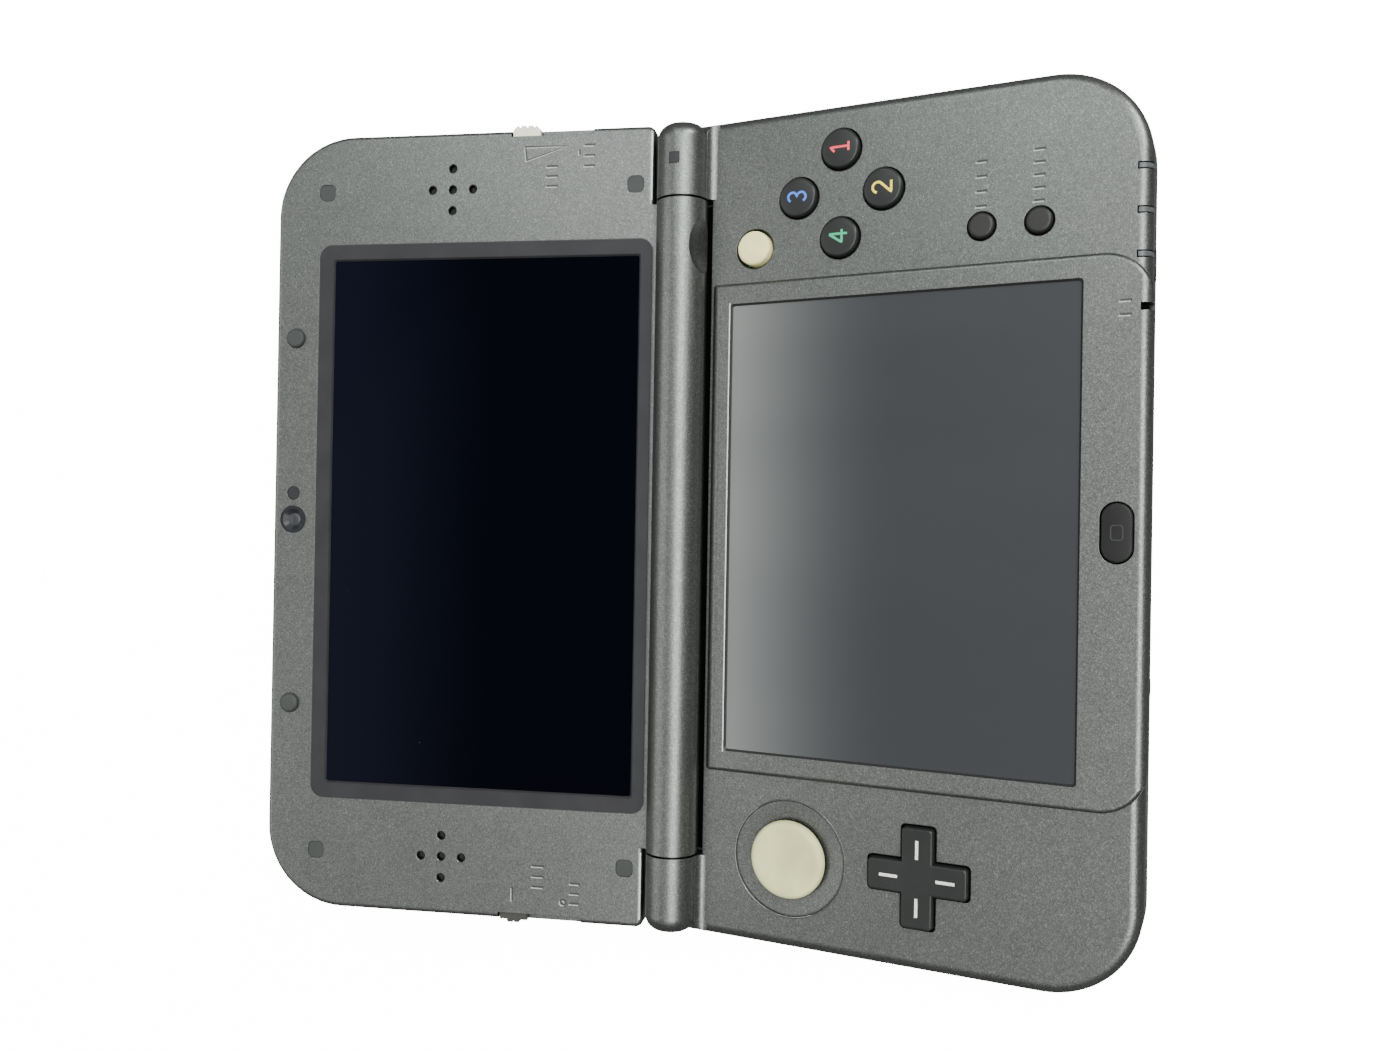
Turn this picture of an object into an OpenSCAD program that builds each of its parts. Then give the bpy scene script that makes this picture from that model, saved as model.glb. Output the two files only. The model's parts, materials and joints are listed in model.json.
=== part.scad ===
// Clamshell handheld game console, shown open as it lies on a table.
// X runs to the player's right, Y to the hinge and Z up, in millimetres.
// The origin is at the middle of the flat underside of the base.

/* [Screens] */
// Width of the visible touch screen
touch_w = 86.9; // [85:0.1:88]
// Depth of the visible touch screen
touch_h = 65.8; // [63.8:0.2:66]
// Width of the lid's face beside the visible upper screen
cheek_w = 25.7; // [24.5:0.1:27]
// Width of the lid's face beyond the visible upper screen
lid_head_w = 12.6; // [12:0.1:14.5]
// Width of the dark frame beside and beyond the upper screen
frame_side = 2.9; // [2.5:0.1:3.5]
// Width of the dark frame between the upper screen and the hinge
frame_root = 2.3; // [2:0.1:2.8]
// Width of the centre panel beside the touch screen
panel_side = 4.1; // [3.4:0.05:4.2]
// Width of the centre panel between the touch screen and the hinge
panel_root = 3.95; // [3.8:0.05:4.2]
// Corner radius of the centre panel at the front
panel_corner_r = 8; // [6:0.5:9]

/* [Body] */
// Depth of the base in front of the touch screen
front_border = 10.9; // [10.5:0.1:12]
// Room between the outermost keys and the centre panel
strip_margin = 3.35; // [2.5:0.05:4]
// Rise of the centre panel above the deck
panel_rise = 0.9; // [0.7:0.1:1.2]
// Depth of the touch screen under the face of the centre panel
touch_sunk = 0.5; // [0.3:0.1:0.6]
// Gap between the centre panel and the lid when closed
closed_gap = 0.9; // [0.7:0.1:1.2]
// Setback of the lid's far edge from the front of the base, when closed
lid_setback = 1; // [0:0.1:1.2]
// Thickness of the lid
lid_t = 8.2; // [8:0.1:9.2]
// Plan radius of the outer corners
corner_r = 16.5; // [14:0.5:18]
// Plan radius of the rear corners of the base
rear_r = 5; // [4:0.5:6]
// Wall thickness of the shells
wall = 1.4; // [1.2:0.1:1.6]
// Thickness of the deck plate
deck_t = 1.3; // [1.1:0.1:1.4]
// Edge radius along the deck
deck_edge_r = 2.2; // [2:0.1:3.4]
// Edge radius under the base
base_edge_r = 2.4; // [1.8:0.1:2.5]
// Edge radius of the lid on its outside
lid_edge_r = 4.4; // [3.6:0.1:5]
// Edge radius of the lid round its inner face
lid_lip_r = 1.1; // [0.8:0.1:1.3]

/* [Hinge] */
// Angle of the open lid above the table
open_tilt = 16.5; // [16:0.5:25]
// Distance from the hinge axis to the back wall
axis_from_back = 6.4; // [6.2:0.1:6.8]
// Height of the hinge axis over the plane of the lid's inner face
axis_proud = 0.2; // [0:0.05:0.3]
// Radius of the hinge barrel and of its two knuckles
barrel_r = 5.1; // [4.9:0.1:5.3]
// Gap between the barrel and each knuckle
barrel_gap = 0.4; // [0.3:0.05:0.6]
// Gap between the barrel and the edge of the deck
deck_gap = 0.85; // [0.7:0.05:1]
// Setback of the centre panel from the edge of the deck
panel_setback = 0.5; // [0.4:0.1:0.8]
// Length of each knuckle
knuckle_len = 14.9; // [14:0.1:15.4]
// Setback of a knuckle's end from the side
knuckle_inset = 0.6; // [0.4:0.1:1]
// Radius of the rounded knuckle end
knuckle_end_r = 3; // [2:0.1:3.5]
// Gap from the knuckle to the edge of the lid
lid_edge_gap = 0.6; // [0.5:0.05:0.8]
// Wall of the barrel round the clutch and the bush
barrel_wall = 2.1; // [1.8:0.1:2.2]
// Radius of the solid hinge pin in the right knuckle
pin_r = 2; // [1.8:0.05:2.2]
// Radius of the hollow hinge pin in the left knuckle
hollow_pin_r = 2.25; // [2.1:0.05:2.4]
// Running clearance of pins in their bores
run_fit = 0.05; // [0.03:0.01:0.08]

/* [Controls] */
// Distance from the side to the circle pad and the cross pad
pads_from_side = 17.15; // [17:0.05:18.5]
// Distance from the hinge axis to the circle pad
circle_pad_from_axis = 24.05; // [24:0.05:25]
// Radius of the circle pad's cap
circle_pad_r = 7.35; // [7:0.05:7.8]
// Travel of the circle pad from its middle, each way
circle_pad_travel = 2.8; // [2:0.1:2.8]
// Room round the circle pad at its full travel
dish_margin = 0.8; // [0.5:0.1:1.2]
// Gap between the circle pad's dish and the cross pad
pads_gap = 4.5; // [3:0.1:5]
// Span of the cross pad
cross_span = 18.2; // [17:0.2:19.6]
// Width of one arm of the cross pad
cross_arm = 5.8; // [5.8:0.1:7]
// Distance from the side to the middle of the four face buttons
buttons_from_side = 17.1; // [17:0.1:18]
// Distance from the hinge axis to the middle of the four face buttons
buttons_from_axis = 32.3; // [32:0.1:33.4]
// Distance of each face button from the middle of the four
button_ring = 8.3; // [8:0.1:8.8]
// Radius of a face button
button_r = 3.7; // [3.6:0.1:4.1]
// Radius of the start and select buttons
small_button_r = 2.3; // [2.2:0.05:2.9]
// Distance from the centre panel to the start and select buttons
small_from_panel = 6.65; // [6.5:0.05:7.5]
// Distance from the front edge to the select button
select_from_front = 18.5; // [18:0.1:19.5]
// Distance between the start and select buttons
start_pitch = 10; // [9:0.1:11]
// Distance from the centre panel to the small stick
stick_from_panel = 6.5; // [6:0.1:7]
// Distance from the hinge axis to the small stick
stick_from_axis = 15.1; // [15:0.1:16]
// Radius of the small stick
stick_r = 3.3; // [3.2:0.1:3.7]
// Length of the home button
home_len = 10.2; // [10:0.1:11.6]
// Width of the home button
home_w = 5.2; // [5:0.1:5.8]
// Distance from the front edge to the home button
home_from_front = 4.95; // [4.7:0.05:5.1]
// Height of the circle pad above the deck
pad_rise = 1.6; // [1.3:0.1:1.6]
// Height of the small stick above the deck
stick_rise = 1.35; // [1.1:0.05:1.4]
// Height of the face buttons and the cross pad above the deck
button_rise = 1.3; // [1:0.1:1.5]
// Height of the start and select buttons above the deck
small_rise = 0.9; // [0.7:0.1:1.2]
// Travel of the face buttons
button_travel = 0.8; // [0.5:0.1:0.8]
// Gap between a button and its hole
button_gap = 0.2; // [0.12:0.01:0.2]

/* [Edges] */
// Height of the joint between the bottom cover and the mid case
cover_h = 2.6; // [2.5:0.1:2.8]
// Inner width of the game card slot
card_w = 34.6; // [34:0.1:35]
// Inner height of the game card slot
card_h = 4.25; // [4.2:0.01:4.3]
// Depth of the game card slot
card_depth = 33; // [31:0.5:35]
// Width of the card slot that lies in the rounded corner
card_corner_lap = 2.3; // [1.5:0.1:2.5]
// Wall between the card slot and the stylus channel
stylus_wall = 2.6; // [2.2:0.1:3]
// Radius of the stylus
stylus_r = 1.95; // [1.8:0.05:1.95]
// Length of the stylus
stylus_len = 76; // [70:1:78]
// Distance from the middle to the headphone socket
jack_x = 12; // [10:0.5:14]
// Radius of the headphone socket's bore
jack_r = 1.8; // [1.76:0.01:1.85]
// Depth of the headphone socket's bore
jack_depth = 13.5; // [12:0.5:14]
// Distance from the side to the power button
power_from_side = 34.1; // [33:0.1:35]
// Spacing of the three light guides
light_pitch = 7.45; // [7:0.05:7.5]
// Width of a light guide
light_w = 0.85; // [0.8:0.05:1.5]
// Length of a light guide over the deck
light_len = 2.3; // [2:0.1:3.4]
// Length of the slots that the lid's sliders run in
slider_track = 17.2; // [16.8:0.1:18]
// Length of a slider's knob along its slot
slider_len = 5.7; // [5:0.1:5.8]
// Distance from the hinge axis to the far end of each slider slot
slider_far = 35.6; // [35:0.1:36.5]
// Spacing of the outer cameras
camera_pitch = 35; // [32:0.5:38]
// Radius of a speaker hole
speaker_hole_r = 0.83; // [0.7:0.01:0.9]
// Spacing of the speaker holes
speaker_pitch = 4.3; // [4:0.1:4.5]

/* [Hidden] */
$fn = 48;
eps = 0.02;
slip = 0.05;                                    // gap between fixed neighbours

// Stack of pieces that gives the base its height
cover_floor = 1.2;
mid_floor = 0.8;
card_floor = 0.15;
card_z = cover_h + card_floor;                  // floor of the card slot
board_z = card_z + card_h + 0.1;
board_t = 0.7;
board_top = board_z + board_t;
shield_h = 1;
screen_z = board_top + shield_h;                // under side of the lower screen
lcd_t = 2.1;
touch_t = 1;
touch_top = screen_z + lcd_t + touch_t;
panel_h = touch_top + touch_sunk;
deck_h = panel_h - panel_rise;                  // face of the deck
face_h = panel_h + closed_gap;                  // lid's inner face when closed
flange_top = deck_h - deck_t - 0.2;             // under side of the deck, less a gap
belt_h = card_z + card_h + 0.5;                 // joint between mid case and deck shell

// Plan of the base, from the touch screen and the keys outwards
strip_w = buttons_from_side + button_ring + button_r + strip_margin;
touch_near = barrel_r + deck_gap + panel_setback + panel_root;
panel_half = touch_w / 2 + panel_side;
body_w = 2 * (panel_half + strip_w);
body_d = axis_from_back + touch_near + touch_h + front_border;
side_x = body_w / 2;
front_y = -body_d / 2;
back_y = body_d / 2;
axis_y = back_y - axis_from_back;
axis_z = face_h - axis_proud;
knuckle_x = side_x - knuckle_inset - knuckle_len;
barrel_half = knuckle_x - barrel_gap;
trough_r = barrel_r + 0.5;
bush_r = barrel_r - barrel_wall;                // bore of the barrel

// Lid, as distances from the hinge axis and from its face
lid_near = barrel_r + lid_edge_gap;             // lid's hinge edge
lid_far = axis_y - front_y - lid_setback;       // lid's far edge
face_w = -axis_proud;                           // lid's inner face in the lid's frame
back_w = face_w - lid_t;                        // lid's outer face in the lid's frame
lid_split = face_w - 1.5;                       // joint between bezel and outer shell
frame_near = lid_near + 0.3;
upper_screen_w = body_w - 2 * cheek_w;
upper_screen_h = lid_far - lid_head_w - frame_near - frame_root;
upper_v = frame_near + frame_root + upper_screen_h / 2;
frame_far = upper_v + upper_screen_h / 2 + frame_side;
frame_w0 = face_w - 0.9;                        // ledge that the dark frame lies on

// Deck and panel edges beside the hinge
deck_back_y = axis_y - barrel_r - deck_gap;
panel_back_y = deck_back_y - panel_setback;
panel_front_y = front_y - 0.3;
panel_roll_r = 1.9;                             // rolled front and back edges of the panel
lip_z = belt_h + 1;                             // lower edge of the panel's front lip
lip_back_y = front_y + deck_edge_r;
valley_h = deck_h - 1.8;                        // ledge behind each knuckle
root_r = 2;                                     // fillet between deck and knuckle
roof_h = axis_z - barrel_r + 0.6;               // plateau under the barrel
roof_y = deck_back_y - 1.5;

// Places of the controls
touch_y = axis_y - touch_near - touch_h / 2;
pads_x = -side_x + pads_from_side;
circle_y = axis_y - circle_pad_from_axis;
dish_r = circle_pad_r + circle_pad_travel + dish_margin;
stem_hole_r = circle_pad_travel + 3.4;          // hole in the dish for the pad's stem
stem_disc_r = stem_hole_r + circle_pad_travel + 0.6;
cross_gap = 0.4;
cross_y = circle_y - dish_r - pads_gap - cross_gap - cross_span / 2;
buttons_x = side_x - buttons_from_side;
buttons_y = axis_y - buttons_from_axis;
small_x = panel_half + small_from_panel;
select_y = front_y + select_from_front;
start_y = select_y + start_pitch;
stick_x = panel_half + stick_from_panel;
stick_y = axis_y - stick_from_axis;
home_y = front_y + home_from_front;
ball_r = 1.2;                                   // ball that the cross pad rocks on
cross_pivot_z = board_top + ball_r + 0.05;
cross_flange = cross_span / 2 + cross_gap;
cross_flange_z = flange_top - 1.35;
dome_ring = 7;                                  // domes under the cross pad's arms
pad_z0 = board_z - 2.9;                         // floor of the circle pad's housing
pad_foot = 9;
stem_r = 2;
x_slider_w = pad_foot + 2.4;
x_slider_d = 2 * circle_pad_travel + pad_foot + 0.8;
four_ways = [[1, 0], [-1, 0], [0, 1], [0, -1]];

// Screws and posts
boss_r = 2.1;
case_screw_x = side_x - wall - 1.9;
case_screw_y = [front_y + 22, axis_y - 11];
cover_screw_x = side_x - 12;
cover_screw_y = axis_y - 4;
board_posts = [[30, front_y + 9], [side_x - 20, front_y + 9], [34, axis_y - 12], [-44, axis_y - 12]];

// Battery
battery_w = 40;
battery_x = 2;
battery_front = front_y + wall + jack_depth + 3.6;
battery_back = touch_y + touch_h / 2 - 4.2;

// Edge fittings
card_x = -side_x + corner_r - card_corner_lap + card_w / 2;
card_back_y = front_y + wall + card_depth;
port_z = board_z - 2.15;                        // middle height of the front sockets
stylus_bore_r = stylus_r + 0.15;
stylus_x = card_x + card_w / 2 + stylus_wall + stylus_bore_r;
stylus_z = cover_h + stylus_bore_r + 0.2;
jack_body_w = 6.4;
plug_w = 7.8;                                   // opening for the charging plug
window_x = 20;
window_w = 10;
port_low = port_z - 1.7;
port_high = port_z + 1.5;
power_x = side_x - power_from_side;
power_z = belt_h - 1.35;
power_len = 5.4;
power_h = 2.2;
power_proud = 0.25;
light_x = [for (k = [0 : 2]) panel_half - 0.5 + k * light_pitch];
mic_x = panel_half - panel_corner_r - 1.55;
mic_w = 1.15;
status_x = side_x - 8.3;
status_w = 2.1;
status_y = axis_y - 0.4;
strap_x = -side_x + 8.5;
strap_y = [back_y - 14, back_y - 10.6];
strap_hole = [3, 1.6];

// Shoulder buttons and triggers
shoulder_len = 25.5;
shoulder_depth = 5.3;
shoulder_wall = 2.2;
shoulder_proud = 0.25;
shoulder_in = side_x - shoulder_len;            // inner end of a shoulder button
shoulder_z0 = cover_h + 0.3;
shoulder_z1 = belt_h - 0.3;
shoulder_pin_r = 0.8;
shoulder_eye_r = 1.8;                           // eye that turns on the pin
shoulder_pin_x = shoulder_in + shoulder_eye_r + 0.2;
shoulder_pin_y = back_y - 3.2;
trigger_len = 15;
trigger_gap = 1.8;                              // web between trigger and shoulder button
trigger_in = shoulder_in - trigger_gap - trigger_len;
trigger_proud = 0.55;

// Lid fittings
speaker_x = side_x - 11.75;
speaker_v = lid_far - 38.2;
speaker_w = 13.6;                               // speaker box
speaker_h = 18;
speaker_cone_r = speaker_pitch + 1.3;
camera_v = lid_far - 4.55;
inner_camera_x = 0.2;
inner_camera_r = 2.8;
infrared_x = inner_camera_x + inner_camera_r + 2.7;
infrared_r = 1.37;
bumper_x = 38.05;
bumper_r = 2.05;
bumper_peg_r = 1.05;
cover_x = side_x - 11.7;
cover_v = [lid_near + 3.9, lid_far - 11];
cover_w = 3.3;
cover_corner_r = 1.1;
outer_camera_v = lid_far - 10;
outer_camera_r = 3.05;
camera_board_x = camera_pitch / 2 + 5.5;        // half length of the board behind them
slider_depth = 1.3;                             // depth of the notch in the bezel's side
slider_skirt = 0.12;                            // gap between a knob's skirt and the lid's side
ribbon_x = 18.1 - barrel_half;                  // middle of the lead's tail
ribbon_w = face_w - 3.85;
ribbon_r = 1.1;
ribbon_tail = 3.5;                              // half width of the tail

// Colours
dark_metallic = "#565a5a";
dark_plastic = "#2b2c2e";
black_plastic = "#18191b";
cream = "#c9c5a8";
grey_cap = "#9b9c8e";
board_green = "#1f5a3a";
steel = "#b4b6b8";

// ---------------------------------------------------------------- shapes

// Quarter profile of a slab's rim, with its upper outer edge rounded by e
module rim_profile(r, h, e) {
    difference() {
        square([r, h]);
        translate([r - e, h - e]) difference() {
            square([e + 1, e + 1]);
            circle(e);
        }
    }
}

// Slab with its own corner radius at each end and its upper edge rounded by e
module slab(x0, x1, y0, y1, r0, r1, z0, z1, e) {
    h = z1 - z0;
    s = min(r0, r1);
    lap = max(0, min(0.01, s - e));             // joins the middle to the strips and corners
    translate([0, 0, z0]) {
        translate([x1 - r0, y0 + r0]) rotate(-90) rotate_extrude(angle = 90) rim_profile(r0, h, e);
        translate([x0 + r0, y0 + r0]) rotate(180) rotate_extrude(angle = 90) rim_profile(r0, h, e);
        translate([x1 - r1, y1 - r1]) rotate_extrude(angle = 90) rim_profile(r1, h, e);
        translate([x0 + r1, y1 - r1]) rotate(90) rotate_extrude(angle = 90) rim_profile(r1, h, e);
        translate([x1 - s, y1 - r1]) rotate([90, 0, 0])
            linear_extrude(y1 - r1 - y0 - r0) rim_profile(s, h, e);
        translate([x0 + s, y0 + r0]) rotate([90, 0, 180])
            linear_extrude(y1 - r1 - y0 - r0) rim_profile(s, h, e);
        translate([x0 + r0, y0 + r0]) rotate([90, 0, -90]) mirror([0, 0, 1])
            linear_extrude(x1 - x0 - 2 * r0) rim_profile(r0, h, e);
        translate([x1 - r1, y1 - r1]) rotate([90, 0, 90]) mirror([0, 0, 1])
            linear_extrude(x1 - x0 - 2 * r1) rim_profile(r1, h, e);
        translate([x0 + s - lap, y0 + r0 - lap])
            cube([x1 - x0 - 2 * s + 2 * lap, y1 - r1 - y0 - r0 + 2 * lap, h]);
    }
}

// Flat shape with rounded corners
module rounded(x0, x1, y0, y1, r) {
    translate([x0 + r, y0]) square([x1 - x0 - 2 * r, y1 - y0]);
    translate([x0, y0 + r]) square([x1 - x0, y1 - y0 - 2 * r]);
    for (x = [x0 + r, x1 - r], y = [y0 + r, y1 - r]) translate([x, y]) circle(r);
}

module rounded_plate(x0, x1, y0, y1, r, z0, z1) {
    translate([0, 0, z0]) linear_extrude(z1 - z0) rounded(x0, x1, y0, y1, r);
}

module block(x0, x1, y0, y1, z0, z1) {
    translate([x0, y0, z0]) cube([x1 - x0, y1 - y0, z1 - z0]);
}

module post(x, y, r, z0, z1) {
    translate([x, y, z0]) cylinder(r = r, h = z1 - z0);
}

// Rod along X from x0 to x1 at the height and depth of the hinge axis
module axis_rod(r, x0, x1) {
    translate([x0, axis_y, axis_z]) rotate([0, 90, 0]) cylinder(r = r, h = x1 - x0);
}

// Rod along Y
module front_rod(x, z, r, y0, y1) {
    translate([x, y0, z]) rotate([-90, 0, 0]) cylinder(r = r, h = y1 - y0);
}

// Slab with the base's own outline, drawn in by inset
module base_slab(inset, z0, z1, e) {
    slab(-side_x + inset, side_x - inset, front_y + inset, back_y - inset,
         corner_r - inset, rear_r - inset, z0, z1, e);
}

// Puts children, drawn from the hinge axis with Y along the open lid, in place
module on_lid() {
    translate([0, axis_y, axis_z]) rotate([open_tilt, 0, 0]) children();
}

// Both sides
module both_sides() {
    children();
    mirror([1, 0, 0]) children();
}

// Round key with a rolled top edge and a flange under the deck
module round_key(x, y, r, top, flange) {
    translate([x, y, 0]) {
        translate([0, 0, flange_top - 0.8]) cylinder(r = r + flange, h = 0.8);
        translate([0, 0, flange_top]) rotate_extrude() rim_profile(r, top - flange_top, 0.6);
    }
}

// Hole in the deck with a small chamfer round its mouth
module key_hole(x, y, r, top) {
    post(x, y, r, flange_top - 3, top + 1);
    translate([x, y, top - 0.2]) cylinder(r1 = r, r2 = r + 0.25, h = 0.25);
}

module pill(x, y, len, w, z0, z1) {
    translate([0, 0, z0]) linear_extrude(z1 - z0) {
        translate([x - (len - w) / 2, y - w / 2]) square([len - w, w]);
        for (s = [-1, 1]) translate([x + s * (len - w) / 2, y]) circle(w / 2);
    }
}

// Cross of two bars with rounded corners and a rolled upper edge
module cross_bars(span, arm, r, z0, z1, e) {
    slab(-span / 2, span / 2, -arm / 2, arm / 2, r, r, z0, z1, e);
    slab(-arm / 2, arm / 2, -span / 2, span / 2, r, r, z0, z1, e);
}

// ---------------------------------------------------------------- lid

module lid_slab(inset, w0, w1, e) {
    slab(-side_x + inset, side_x - inset, lid_near + inset, lid_far - inset,
         1.6 - min(inset, 1.4), corner_r - inset, w0, w1, e);
}

// Notch in each side of the bezel that a slider runs in, and the slot under it for its neck
module slider_tracks() {
    both_sides() {
        block(side_x - slider_depth, side_x + 1, slider_far - slider_track, slider_far,
              lid_split, face_w + 1);
        block(side_x - wall - 1, side_x, slider_far - slider_track + 0.6, slider_far - 0.6,
              face_w - 3.2, face_w - 2.2);
    }
}

// Slot that the tail of the display lead passes
module ribbon_slot(v0, v1) {
    block(ribbon_x - ribbon_tail - 1.5, ribbon_x + ribbon_tail + 1.5, v0, v1, ribbon_w - 0.3, ribbon_w + 0.4);
}

module lid_outer_shell() {
    color(dark_metallic) on_lid() difference() {
        mirror([0, 0, 1]) lid_slab(0, -lid_split, -back_w, lid_edge_r);
        difference() {
            mirror([0, 0, 1]) lid_slab(wall, -lid_split - 1, -back_w - 1.2, lid_edge_r - wall);
            for (s = [-1, 1], v = cover_v) post(s * cover_x, v, boss_r + 0.1, back_w, lid_split);
        }
        for (s = [-1, 1], v = cover_v) post(s * cover_x, v, 0.85, lid_split - 4.5, lid_split + 1);
        for (s = [-1, 1])
            post(s * camera_pitch / 2, outer_camera_v, outer_camera_r + slip, back_w - 1, back_w + 2);
        slider_tracks();
        ribbon_slot(lid_near - 1, lid_near + wall + 1);
    }
}

// Block over the visible upper screen and a margin round it
module upper_window(margin, w0, w1) {
    block(-upper_screen_w / 2 - margin, upper_screen_w / 2 + margin,
          upper_v - upper_screen_h / 2 - margin, upper_v + upper_screen_h / 2 + margin, w0, w1);
}

module lid_bezel() {
    frame_half = upper_screen_w / 2 + frame_side;
    color(dark_metallic) on_lid() difference() {
        union() {
            lid_slab(0, lid_split, face_w, lid_lip_r);
            block(-barrel_half, barrel_half, lid_near, lid_near + lid_lip_r, lid_split, face_w);
        }
        rounded_plate(-frame_half - 0.2, frame_half + 0.2, frame_near - 0.2, frame_far + 0.2, 2.7,
                      frame_w0, face_w + 1);
        upper_window(1.4, lid_split - 1, face_w);
        for (s = [-1, 1]) translate([s * speaker_x, speaker_v]) speaker_holes(speaker_hole_r);
        for (s = [-1, 1], v = cover_v) {
            rounded_plate(s * cover_x - cover_w / 2 - slip, s * cover_x + cover_w / 2 + slip,
                          v - cover_w / 2 - slip, v + cover_w / 2 + slip, cover_corner_r, face_w - 0.8,
                          face_w + 1);
            post(s * cover_x, v, 0.95, lid_split - 1, face_w);
        }
        post(inner_camera_x, camera_v, inner_camera_r + slip, lid_split - 1, face_w + 1);
        post(infrared_x, camera_v, infrared_r + slip, lid_split - 1, face_w + 1);
        for (s = [-1, 1]) post(s * bumper_x, camera_v, bumper_peg_r + slip, face_w - 1, face_w + 1);
        slider_tracks();
    }
}

module speaker_holes(r) {
    for (d = [[0, 0], [1, 0], [-1, 0], [0, 1], [0, -1]]) {
        post(d[0] * speaker_pitch, d[1] * speaker_pitch, r, lid_split - 1, face_w + 1);
        translate([d[0] * speaker_pitch, d[1] * speaker_pitch, face_w - 0.15])
            cylinder(r1 = r, r2 = r + 0.2, h = 0.2);
    }
}

module hinge_barrel() {
    scoop_r = 9.6;
    scoop_depth = 1.6;
    scoop_x = stick_x + 0.8;
    scoop_angle = 170 - open_tilt;              // towards the small stick when open
    color(dark_metallic) on_lid() difference() {
        union() {
            translate([-barrel_half, 0, 0]) rotate([0, 90, 0]) cylinder(r = barrel_r, h = 2 * barrel_half);
            block(-barrel_half, barrel_half, 0, lid_near, 0.3 - barrel_r, face_w);
        }
        translate([-barrel_half - 1, 0, 0]) rotate([0, 90, 0]) cylinder(r = bush_r, h = 2 * barrel_half + 2);
        translate([scoop_x, 0, 0]) rotate([scoop_angle, 0, 0])
            translate([0, barrel_r - scoop_depth + scoop_r, 0]) sphere(scoop_r);
        block(ribbon_x - ribbon_tail - 1.5, ribbon_x + ribbon_tail + 1.5, -0.6, 1.6, ribbon_w - 0.3, 0);
        ribbon_slot(1, lid_near + 1);
    }
}

module screen_frame() {
    half = upper_screen_w / 2 + frame_side;
    color(dark_plastic) on_lid() difference() {
        rounded_plate(-half, half, frame_near, frame_far, 2.5, frame_w0, face_w + 0.15);
        upper_window(1.3, face_w - 2, face_w - 0.28);
        rounded_plate(-upper_screen_w / 2, upper_screen_w / 2, upper_v - upper_screen_h / 2,
                      upper_v + upper_screen_h / 2, 0.4, face_w - 2, face_w + 1);
    }
}

module upper_screen() {
    color("#05060a") on_lid() upper_window(1.2, face_w - 3.2, face_w - 0.3);
}

// Dished ring with a lens at its bottom, opening along +Z at z = 0
module camera_barrel(r, lens_r, depth) {
    difference() {
        translate([0, 0, -depth]) cylinder(r = r, h = depth);
        translate([0, 0, -0.7]) cylinder(r1 = lens_r, r2 = r - 0.5, h = 0.7 + eps);
    }
}

module inner_camera() {
    color(black_plastic) on_lid() translate([inner_camera_x, camera_v, face_w - 0.05])
        camera_barrel(inner_camera_r, 1.1, 2.2);
}

module infrared_light() {
    color("#1c1418") on_lid() post(infrared_x, camera_v, infrared_r, face_w - 1.9, face_w - 0.1);
}

module outer_cameras() {
    color(black_plastic) on_lid() for (s = [-1, 1])
        translate([s * camera_pitch / 2, outer_camera_v, back_w - 0.15]) mirror([0, 0, 1])
            camera_barrel(outer_camera_r, 1.3, 2.1);
}

module camera_board() {
    color(board_green) on_lid() difference() {
        block(-camera_board_x, camera_board_x, outer_camera_v - outer_camera_r - 0.95, lid_far - wall - 1.2,
              back_w + 2.1, back_w + 2.7);
        post(camera_board_x - 11, outer_camera_v, 0.8, back_w, back_w + 4);
    }
}

module speakers() {
    color(black_plastic) on_lid() for (s = [-1, 1]) translate([s * speaker_x, speaker_v]) difference() {
        rounded_plate(-speaker_w / 2, speaker_w / 2, -speaker_h / 2, speaker_h / 2, 2,
                      lid_split - 4.2, lid_split - 0.45);
        post(0, 0, speaker_cone_r, lid_split - 1, lid_split);
    }
}

module speaker_mesh() {
    color("#101112") on_lid() for (s = [-1, 1]) translate([s * speaker_x, speaker_v])
        post(0, 0, speaker_cone_r + 0.6, lid_split - 0.4, lid_split - 0.1);
}

// Slider knob on the right side, whose grip stands proud of the lid's side
module slider_knob(grip, proud, chamfer, groove_w) {
    v0 = slider_far - 0.35 - slider_len;
    v1 = v0 + slider_len;
    middle_v = (v0 + v1) / 2;
    skirt_w0 = face_w - 3.6;
    difference() {
        union() {
            block(side_x - slider_depth + slip, side_x + 0.05, v0, v1, lid_split + 0.15, face_w - 0.25);
            block(side_x, side_x + proud, middle_v - grip / 2, middle_v + grip / 2, lid_split + 0.15,
                  face_w - 0.25);
            block(side_x + slider_skirt, side_x + proud, middle_v - grip / 2, middle_v + grip / 2,
                  skirt_w0, face_w - 0.25);
        }
        for (k = [-1, 0, 1])
            translate([0, middle_v + k * 1.5, 0])
                block(side_x + proud - 0.35, side_x + proud + 1, -groove_w / 2, groove_w / 2,
                      skirt_w0 - 1, face_w);
        for (s = [-1, 1])
            translate([side_x + proud, middle_v + s * grip / 2, skirt_w0 - 1]) rotate(45)
                cube([chamfer, chamfer, 12], center = true);
    }
    // neck through the slot and the foot behind it
    block(side_x - wall - 0.4, side_x + slider_skirt + 0.2, v0 + 1.6, v1 - 1.6, face_w - 3.1, face_w - 2.3);
    block(side_x - wall - 1.4, side_x - wall - 0.3, v0 + 0.8, v1 - 0.8, face_w - 4.2, face_w - 1.8);
}

module depth_slider() {
    color(cream) on_lid() slider_knob(slider_len, 0.9, 1.2, 0.6);
}

module volume_slider() {
    color("#2f302c") on_lid() mirror([1, 0, 0]) slider_knob(2.7, 0.6, 0.3, 0.3);
}

module lid_bumpers() {
    rise = closed_gap - 0.1;
    color(dark_plastic) on_lid() for (s = [-1, 1]) translate([s * bumper_x, camera_v, face_w]) {
        rotate_extrude() rim_profile(bumper_r, rise, rise - 0.05);
        translate([0, 0, -0.95]) cylinder(r = bumper_peg_r, h = 1);
    }
}

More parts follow.
